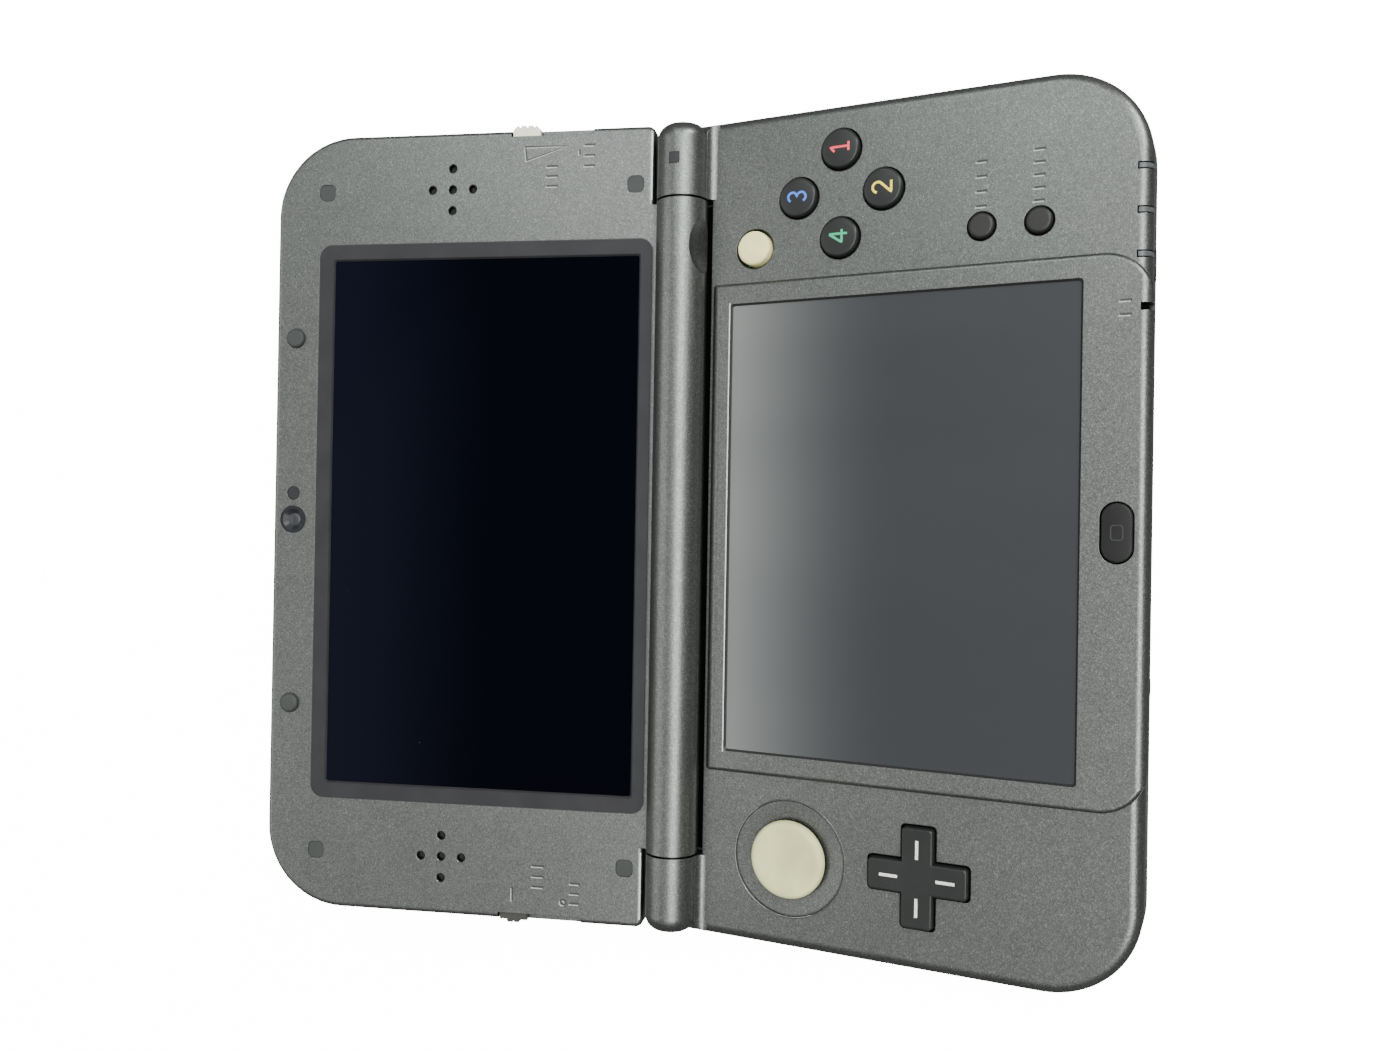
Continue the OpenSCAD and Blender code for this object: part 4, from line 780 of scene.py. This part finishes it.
class CONSOLE_OT_screens(bpy.types.Operator):
    """Finish both screens, the dark frame and the lips round their windows"""

    bl_idname = "console.screens"
    bl_label = "Screens"

    def execute(self, context):
        lip = context.scene.console_sizes.lip
        coat_all({
            "frame_plastic": "screen_frame", "upper_glass": "upper_screen",
            "touch_film": "touch_panel", "display_glass": "lower_screen",
        })
        margin = 1.2 * MM
        low, high = span("upper_screen", LID)
        frame_top = span("screen_frame", LID)[1].z
        mesh = window_lip(
            "upper_window_lip", (low.x + margin, low.y + margin), (high.x - margin, high.y - margin),
            0.4 * MM, lip, frame_top - 0.01 * MM, high.z + 0.005 * MM,
        )
        add_piece("upper_window_lip", mesh, "lid", finish("frame_plastic"), LID)
        low, high = span("screen_frame", LID)
        loop = inset_loop(low, high, -0.1 * MM, 2.6 * MM)
        loop.append(loop[0])
        add_strokes("frame_gap", [loop], 0.24 * MM, 0.05 * MM, "lid", "seam_shadow",
                    LID, (0, 0, span("lid_bezel", LID)[1].z))
        low, high = span("touch_panel")
        panel_top = span("centre_panel")[1].z
        mesh = window_lip(
            "touch_window_lip", (low.x + MM, low.y + 0.9 * MM), (high.x - MM, high.y - 0.9 * MM),
            0.6 * MM, lip, panel_top - 0.02 * MM, high.z + 0.005 * MM,
        )
        # The touch window's lip is coloured as the painted shade of its recess.
        add_piece("touch_window_lip", mesh, "base", finish("seam_shadow"))
        # Along the window's hinge edge: a painted highlight on the panel's rim, and a strip of painted
        # shadow on the screen inside it.
        for name, inset, width, thick, paint_name, slot, level in (
            ("touch_lip_lit", 0.8, 0.24, 0.05, "lip_shine", "metallic_shell", panel_top),
            ("touch_hinge_shadow", 1.15, 0.45, 0.06, "seam_shadow", "dark_rubber", high.z),
        ):
            edge = inset * MM
            line = [(low.x + edge, high.y - edge), (high.x - edge, high.y - edge)]
            add_strokes(name, [line], width * MM, thick * MM, "base", paint_name,
                        place=(0, 0, level))
        return {"FINISHED"}


# ------------------------ pads and stick


class CONSOLE_OT_pads(bpy.types.Operator):
    """Turn the circle pad and the small stick, and mark the cross pad"""

    bl_idname = "console.pads"
    bl_label = "Pads and small stick"

    def execute(self, context):
        self.circle_pad(context.scene.console_sizes.pad_dish)
        self.small_stick()
        self.cross_pad()
        coat_all({
            "grey_slider": "pad_x_slider pad_y_slider", "black_plastic": "pad_housing",
            "steel": "cross_pad_pivot small_stick_post",
        })
        return {"FINISHED"}

    def circle_pad(self, dish):
        """Cap with a rolled rim round a hollow top, over the dish in the deck."""
        low, high = span("circle_pad")
        radius, top, bottom = (high.x - low.x) / 2, high.z, low.z
        round_r, rim_r = 1.0 * MM, radius - 1.35 * MM
        hollow = [
            (rim_r * k / 12, top - dish * (1 - (k / 12) ** 2) - 0.02 * MM) for k in range(13)
        ]
        profile = (
            hollow
            + arc((radius - round_r, top - round_r), round_r, 75, 0, 8)
            + [(radius, bottom + 0.2 * MM), (radius - 0.3 * MM, bottom), (0, bottom)]
        )
        middle_x, middle_y = (low.x + high.x) / 2, (low.y + high.y) / 2
        cap = add_piece(
            "circle_pad_cap", turned("circle_pad_cap", profile, 96), "circle_pad",
            finish("pad_rubber"), place=(middle_x, middle_y, 0),
        )
        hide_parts("circle_pad")
        shine = arc((0, 0), radius + 3.72 * MM, 35, 205, 60)
        deck_top = bottom - 0.1 * MM
        add_strokes("pad_dish_lit", [shine], 0.13 * MM, 0.05 * MM, "base", "lip_shine",
                    place=(middle_x, middle_y, deck_top))
        for name, out, width, coat in (
            ("pad_dish_rim", 3.8 * MM, 0.12 * MM, "body_coat"),
            ("pad_dish_groove", 3.58 * MM, 0.09 * MM, "seam_shadow"),
        ):
            ring = hoop(name, arc((radius + out, 0), width, 0, 180, 6))
            add_piece(name, ring, "base", finish(coat),
                      place=(middle_x, middle_y, deck_top - 0.02 * MM))

    def small_stick(self):
        low, high = span("small_stick")
        radius = (high.x - low.x) / 2
        profile = crowned(radius, 0.65 * MM, 0.18 * MM, high.z, 78) + [(radius, low.z), (0, low.z)]
        spot = middle("small_stick")
        stick = add_piece(
            "small_stick_cap", turned("small_stick_cap", profile, 64), "small_stick",
            finish("stick_rubber"), place=(spot.x, spot.y, 0),
        )
        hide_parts("small_stick")

    def cross_pad(self):
        coat_nodes("key_black", "cross_pad")
        spot, top = middle("cross_pad"), span("cross_pad")[1].z
        reach, length, width = 5.2 * MM, 3.4 * MM, 0.55 * MM
        near, far = reach - length / 2, reach + length / 2
        lines = [
            [(near * dx, near * dy), (far * dx, far * dy)]
            for dx, dy in ((1, 0), (-1, 0), (0, 1), (0, -1))
        ]
        add_strokes("cross_pad_lines", lines, width, 0.05 * MM, "cross_pad", "ink_white",
                    place=(spot.x, spot.y, top))


# ------------------------ keys


def number_lines(number, height):
    """Strokes of a plain number from 1 to 4, centred on the origin."""
    drawn = {
        1: [[(-0.42, 0.55), (0.08, 1.0), (0.08, -1.0)], [(-0.4, -1.0), (0.56, -1.0)]],
        2: [arc((0, 0.45), 0.55, 170, -38, 14) + [(-0.58, -1.0), (0.62, -1.0)]],
        3: [arc((-0.03, 0.5), 0.5, 155, -90, 14) + arc((-0.03, -0.5), 0.5, 90, -155, 14)[1:]],
        4: [[(0.26, -1.0), (0.26, 1.0)], [(0.26, 1.0), (-0.66, -0.4), (0.72, -0.4)]],
    }[number]
    return [[(x * height / 2, y * height / 2) for x, y in line] for line in drawn]


class CONSOLE_OT_face_keys(bpy.types.Operator):
    """Turn the four face keys and print a plain number on each"""

    bl_idname = "console.face_keys"
    bl_label = "Face keys"

    def execute(self, context):
        sizes = context.scene.console_sizes
        for number, side, ink in (
            (1, "right", "ink_red"), (2, "bottom", "ink_yellow"),
            (3, "top", "ink_blue"), (4, "left", "ink_green"),
        ):
            self.key("button_" + side, sizes.key_crown)
            self.number("button_" + side, number, ink, sizes)
        return {"FINISHED"}

    def key(self, node, crown):
        """Key with a flange under the deck, a rolled rim and a crowned face."""
        low, high = span(node)
        flange_r = (high.x - low.x) / 2
        radius, flange_top = flange_r - 0.8 * MM, low.z + 0.8 * MM
        profile = crowned(radius, 0.55 * MM, crown, high.z, 84) + [
            (radius, flange_top), (flange_r, flange_top), (flange_r, low.z), (0, low.z)
        ]
        spot = middle(node)
        key = add_piece(node + "_key", turned(node + "_key", profile, 72), node,
                        finish("key_black"), place=(spot.x, spot.y, 0))
        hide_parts(node)

    def number(self, node, number, ink, sizes):
        low, high = span(node)
        radius = (high.x - low.x) / 2 - 1.35 * MM
        lines = [finely(line, 0.3 * MM) for line in number_lines(number, sizes.number_height)]
        mesh = strokes(node + "_number", lines, sizes.stroke, 0.04 * MM)
        drape(mesh, lambda x, y: -sizes.key_crown * (x * x + y * y) / radius**2)
        spot = middle(node)
        add_piece(node + "_number", mesh, node, finish(ink),
                  place=(spot.x, spot.y, high.z + FACE_LIFT))


def tick_row(corner, length, height, count):
    """Parallel ticks along X, the height given along Y, starting at a corner's middle."""
    return [
        [(corner[0] + length * k / (count - 1), corner[1] - height / 2),
         (corner[0] + length * k / (count - 1), corner[1] + height / 2)]
        for k in range(count)
    ]


def engrave(name, lines, body, home, level):
    """Marks that look sunk in the coat: a stroke of painted shade and a painted highlight on the lit
    edge beside it.
    """
    depth, lit = 0.04 * MM, 0.26 * MM
    for part, ink, shift, sunk, width in (
        ("_lit", "groove_painted_highlight", lit, FACE_LIFT, 0.3 * MM), ("", "groove_painted_shade", 0, 0, 0.45 * MM)
    ):
        add_strokes(name + part, lines, width, depth, body, ink, home,
                    (-shift, shift, level - sunk))


class CONSOLE_OT_small_keys(bpy.types.Operator):
    """Finish the start, select, home and power keys and their marks"""

    bl_idname = "console.small_keys"
    bl_label = "Small keys"

    def execute(self, context):
        coat_nodes("key_dark", "start_button", "select_button", "power_button")
        self.home_key()
        self.engraved_ticks()
        return {"FINISHED"}

    def home_key(self):
        """Pill-shaped key with a rolled edge and a generic ring on it."""
        low, high = span("home_button")
        side = 0.8 * MM
        low, high = low + Vector((side, 0, 0)), high - Vector((side, 0, 0))
        half = (high.y - low.y) / 2
        steps = [(0, 0.55), (0.02, 0.35), (0.1, 0.16), (0.25, 0.04), (0.45, 0)]
        levels = [(0, low.z)] + [(inset * MM, high.z - drop * MM) for inset, drop in steps]
        loops = [(inset_loop(low, high, inset, half - inset, 12), z) for inset, z in levels]
        key = add_piece("home_key", stacked_loops("home_key", loops), "home_button",
                        finish("home_black"))
        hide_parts("home_button")
        spot = middle("home_button")
        corner = Vector((1.25 * MM, 0.95 * MM))
        ring = inset_loop(-corner, corner, 0, 0.45 * MM, 5)
        ring.append(ring[0])
        add_strokes("home_mark", [ring], 0.26 * MM, 0.04 * MM, "home_button", "dark_rubber",
                    place=(spot.x, spot.y, high.z))

    def engraved_ticks(self):
        """Rows of plain ticks by the start, select and microphone openings."""
        deck_top = span("centre_panel")[1].z - 0.9 * MM
        panel_top = span("centre_panel")[1].z
        for node, count, level, start, length, y in (
            ("start_button", 4, deck_top, 3.6 * MM, 8 * MM, 0),
            ("select_button", 5, deck_top, 3.6 * MM, 9 * MM, 0),
            ("microphone", 2, panel_top, -1.2 * MM, 2.4 * MM, 2.9 * MM),
        ):
            spot = middle(node)
            row = tick_row((spot.x + start, spot.y + y), length, 1.9 * MM, count)
            engrave(node + "_ticks", row, "base", BASE, level)


# ------------------------ lid fittings


class CONSOLE_OT_lid_fittings(bpy.types.Operator):
    """Finish the cameras, bumpers, covers, sliders and speakers, and engrave the lid"""

    bl_idname = "console.lid_fittings"
    bl_label = "Lid fittings"

    def execute(self, context):
        coat_all({
            "lens_gloss": "inner_camera outer_cameras", "infrared_plastic": "infrared_light",
            "dark_rubber": "lid_bumpers screw_covers", "cream_plastic": "depth_slider",
            "grey_plastic": "volume_slider", "speaker_cloth": "speaker_mesh",
            "black_plastic": "speakers",
        })
        self.slider_notch_shade(context.scene.console_sizes.notch_depth)
        self.lenses()
        self.engravings()
        return {"FINISHED"}

    def slider_notch_shade(self, depth):
        """Dark sheet of painted shade on the floor and the wall of the notch that each slider runs in.
        """
        high = span("lid_bezel", LID)[1]
        far = span("depth_slider", LID)[1].y + 0.3 * MM
        near, sheet = far - SLOT_LEN - 0.1 * MM, 0.05 * MM
        rim = high.x - 0.05 * MM
        wall = high.x - depth + 0.01 * MM
        floor, top = span("lid_outer_shell", LID)[1].z, high.z - 0.12 * MM
        outline = [
            (rim, floor), (rim, floor + sheet), (wall + sheet, floor + sheet),
            (wall + sheet, top), (wall, top), (wall, floor),
        ]
        for name, way in (("slider_notch_shade_right", 1), ("slider_notch_shade_left", -1)):
            flat = [(x * way, z) for x, z in outline]
            mesh = stacked_loops(name, [(flat, 0), (flat, near - far)])
            mesh.transform(Matrix.Translation((0, far, 0)) @ Matrix.Rotation(math.pi / 2, 4, "X"))
            add_piece(name, mesh, "lid", finish("notch_shade_black"), LID, crease=20)

    def lenses(self):
        """Glass domes at the bottom of the three camera barrels."""
        inner = middle("inner_camera", LID)
        inner_face = span("inner_camera", LID)[1].z
        outer_low, outer_high = span("outer_cameras", LID)
        barrel_r = (outer_high.y - outer_low.y) / 2
        spots = [("inner_lens", inner.x, inner.y, inner_face, 1, 1.5 * MM)]
        for side, x in (("left", outer_low.x + barrel_r), ("right", outer_high.x - barrel_r)):
            spots.append(
                ("outer_lens_" + side, x, (outer_low.y + outer_high.y) / 2, outer_low.z, -1, 1.35 * MM)
            )
        for name, x, y, face, way, radius in spots:
            dome = 0.3 * MM
            crown = [(radius * k / 8, -0.66 * MM + dome * (1 - (k / 8) ** 2)) for k in range(9)]
            mesh = turned(name, crown + [(radius, -0.75 * MM), (0, -0.75 * MM)], 48)
            if way < 0:
                mesh.transform(Matrix.Rotation(math.pi, 4, "X"))
            add_piece(name, mesh, "lid", finish("lens_glass"), LID, (x, y, face))

    def engravings(self):
        """A wedge by the depth slider, a line and a dot by the volume slider, and ticks."""
        face = span("lid_bezel", LID)[1].z
        edge = span("lid_bezel", LID)[1].x / MM
        wedge = [(edge - 3.5, 32.5), (edge - 6.3, 32.2), (edge - 3.5, 23.5), (edge - 3.5, 32.5)]
        dash = [(edge - 5.4, 21.2), (edge - 4.4, 21.2)]
        full = [(3.9 - edge, 32.6), (6.5 - edge, 32.6)]
        dot = arc((4.2 - edge, 22), 0.5, 0, 360, 12)
        rows = {
            "depth": [wedge, dash] + tick_row((edge - 11.6, 26.8), 4, 2.4, 3)
            + tick_row((edge - 7.7, 19.1), 4.2, 2.2, 3),
            "volume": [full, dot] + tick_row((6.9 - edge, 27.3), 4.2, 2.4, 3)
            + tick_row((4 - edge, 19.6), 4, 2.0, 3),
        }
        for name, lines in rows.items():
            lines = [[(x * MM, y * MM) for x, y in points] for points in lines]
            engrave(name + "_marks", lines, "lid", LID, face)


# ------------------------ edges and inner works


class CONSOLE_OT_edge_fittings(bpy.types.Operator):
    """Finish the fittings in the edges of the base"""

    bl_idname = "console.edge_fittings"
    bl_label = "Edge fittings"

    def execute(self, context):
        coat_all({
            "dark_plastic": "stylus shoulder_left shoulder_right trigger_left trigger_right",
            "light_guide": "light_guides", "smoked_window": "status_light",
            # the microphone is deep black, the painted shade of the opening in front of it
            "deep_black": "microphone", "infrared_plastic": "infrared_window",
            "black_plastic": "headphone_socket charge_socket", "steel": "card_cage",
        })
        return {"FINISHED"}


class CONSOLE_OT_inner_works(bpy.types.Operator):
    """Finish what lies inside both halves"""

    bl_idname = "console.inner_works"
    bl_label = "Inner works"

    def execute(self, context):
        coat_all({
            "board_lacquer": "mainboard camera_board", "battery_foil": "battery",
            "steel": "case_screws cover_screws lid_screws shoulder_pins hinge_pins hinge_clutch",
            "nylon": "hinge_bush", "amber_film": "display_ribbon", "silicone": "button_membranes",
        })
        return {"FINISHED"}


# ------------------------ stage

# Where the photograph was taken from, in metres, and how the camera was held
CAMERA_PLACE = Vector((-0.000908, -0.060790, 0.216996))
CAMERA_FORWARD = Vector((0.005509, 0.426472, -0.904484))
CAMERA_UP = Vector((0.999844, 0.012815, 0.012133))
CAMERA_LENS = 29.54


class CONSOLE_OT_stage(bpy.types.Operator):
    """Lay a pale floor, light it softly and place the camera"""

    bl_idname = "console.stage"
    bl_label = "Stage"

    def execute(self, context):
        self.floor()
        self.camera(context.scene)
        world = bpy.data.worlds.new("studio_air")
        world.use_nodes = True
        air = world.node_tree.nodes["Background"]
        air.inputs["Color"].default_value = (1.0, 0.995, 0.95, 1)
        air.inputs["Strength"].default_value = 0.2
        context.scene.world = world
        self.softbox("ceiling_softbox", (-0.2, -0.25, 1.15), 1.6, 1.4, 5.6)
        self.softbox("front_softbox", (0.05, -0.52, 0.95), 1.3, 0.55, 21)
        self.softbox("side_softbox", (0.6, 0.1, 0.85), 0.3, 0.6, 3, (0.95, 1, 1))
        self.softbox("window_softbox", (0.75, -0.75, 0.6), 0.35, 0.5, 12)
        self.softbox("rear_softbox", (0, 0.9, 0.9), 1.2, 0.9, 8)
        return {"FINISHED"}

    def floor(self):
        material = start_material("pale_table", grey(0.9), 0.6, Emission_Strength=14.0)
        shader_of(material).inputs["Emission Color"].default_value = (1, 1, 1, 1)
        paint(material, ramp(material, noise(material, 0.2, 2), [(0.3, grey(0.88)), (0.7, grey(0.92))]))
        half = 2.0
        mesh = bpy.data.meshes.new("floor")
        mesh.from_pydata(
            [(-half, -half, 0), (half, -half, 0), (half, half, 0), (-half, half, 0)], [], [(0, 1, 2, 3)]
        )
        mesh.materials.append(material)
        floor = bpy.data.objects.new("floor", mesh)
        bpy.context.scene.collection.objects.link(floor)
        # the bright table doesn't light the console from below
        floor.visible_diffuse = False
        floor.visible_glossy = False

    def camera(self, scene):
        data = bpy.data.cameras.new("camera")
        data.lens = CAMERA_LENS
        data.sensor_fit = "HORIZONTAL"
        data.clip_start = 0.01
        camera = bpy.data.objects.new("camera", data)
        back = -CAMERA_FORWARD.normalized()
        right = CAMERA_UP.cross(back).normalized()
        up = back.cross(right)
        turn = Matrix((right, up, back)).transposed().to_4x4()
        camera.matrix_world = Matrix.Translation(CAMERA_PLACE) @ turn
        scene.collection.objects.link(camera)
        scene.camera = camera

    def softbox(self, name, place, width, depth, power, colour=(1, 1, 1)):
        """Soft light at a place in metres, its power in watts, turned to the console's middle."""
        aim = Vector((0, 0.03, 0)) - Vector(place)
        data = bpy.data.lights.new(name, "AREA")
        data.color = colour
        data.shape = "RECTANGLE"
        data.size, data.size_y, data.energy = width, depth, power
        light = bpy.data.objects.new(name, data)
        light.location = place
        light.rotation_euler = aim.to_track_quat("-Z", "Y").to_euler()
        bpy.context.scene.collection.objects.link(light)


# ------------------------ panel and running

PIECES = (
    CONSOLE_OT_shells,
    CONSOLE_OT_screens,
    CONSOLE_OT_pads,
    CONSOLE_OT_face_keys,
    CONSOLE_OT_small_keys,
    CONSOLE_OT_lid_fittings,
    CONSOLE_OT_edge_fittings,
    CONSOLE_OT_inner_works,
    CONSOLE_OT_stage,
)


class CONSOLE_PT_dressing(bpy.types.Panel):
    """Lists the steps that dress the console"""

    bl_idname = "CONSOLE_PT_dressing"
    bl_label = "Console dressing"
    bl_space_type = "VIEW_3D"
    bl_region_type = "UI"
    bl_category = "Console"

    def draw(self, context):
        layout = self.layout
        for step in PIECES:
            layout.operator(step.bl_idname)
        for group in (context.scene.console_colours, context.scene.console_sizes):
            for name in group.__annotations__:
                layout.prop(group, name)


CLASSES = (ConsoleColours, ConsoleSizes, *PIECES, CONSOLE_PT_dressing)


def register():
    for cls in CLASSES:
        bpy.utils.register_class(cls)
    bpy.types.Scene.console_colours = PointerProperty(type=ConsoleColours)
    bpy.types.Scene.console_sizes = PointerProperty(type=ConsoleSizes)


def unregister():
    del bpy.types.Scene.console_sizes
    del bpy.types.Scene.console_colours
    for cls in reversed(CLASSES):
        bpy.utils.unregister_class(cls)


def main():
    register()
    bpy.ops.console.shells()
    bpy.ops.console.screens()
    bpy.ops.console.pads()
    bpy.ops.console.face_keys()
    bpy.ops.console.small_keys()
    bpy.ops.console.lid_fittings()
    bpy.ops.console.edge_fittings()
    bpy.ops.console.inner_works()
    bpy.ops.console.stage()


if __name__ == "__main__":
    main()
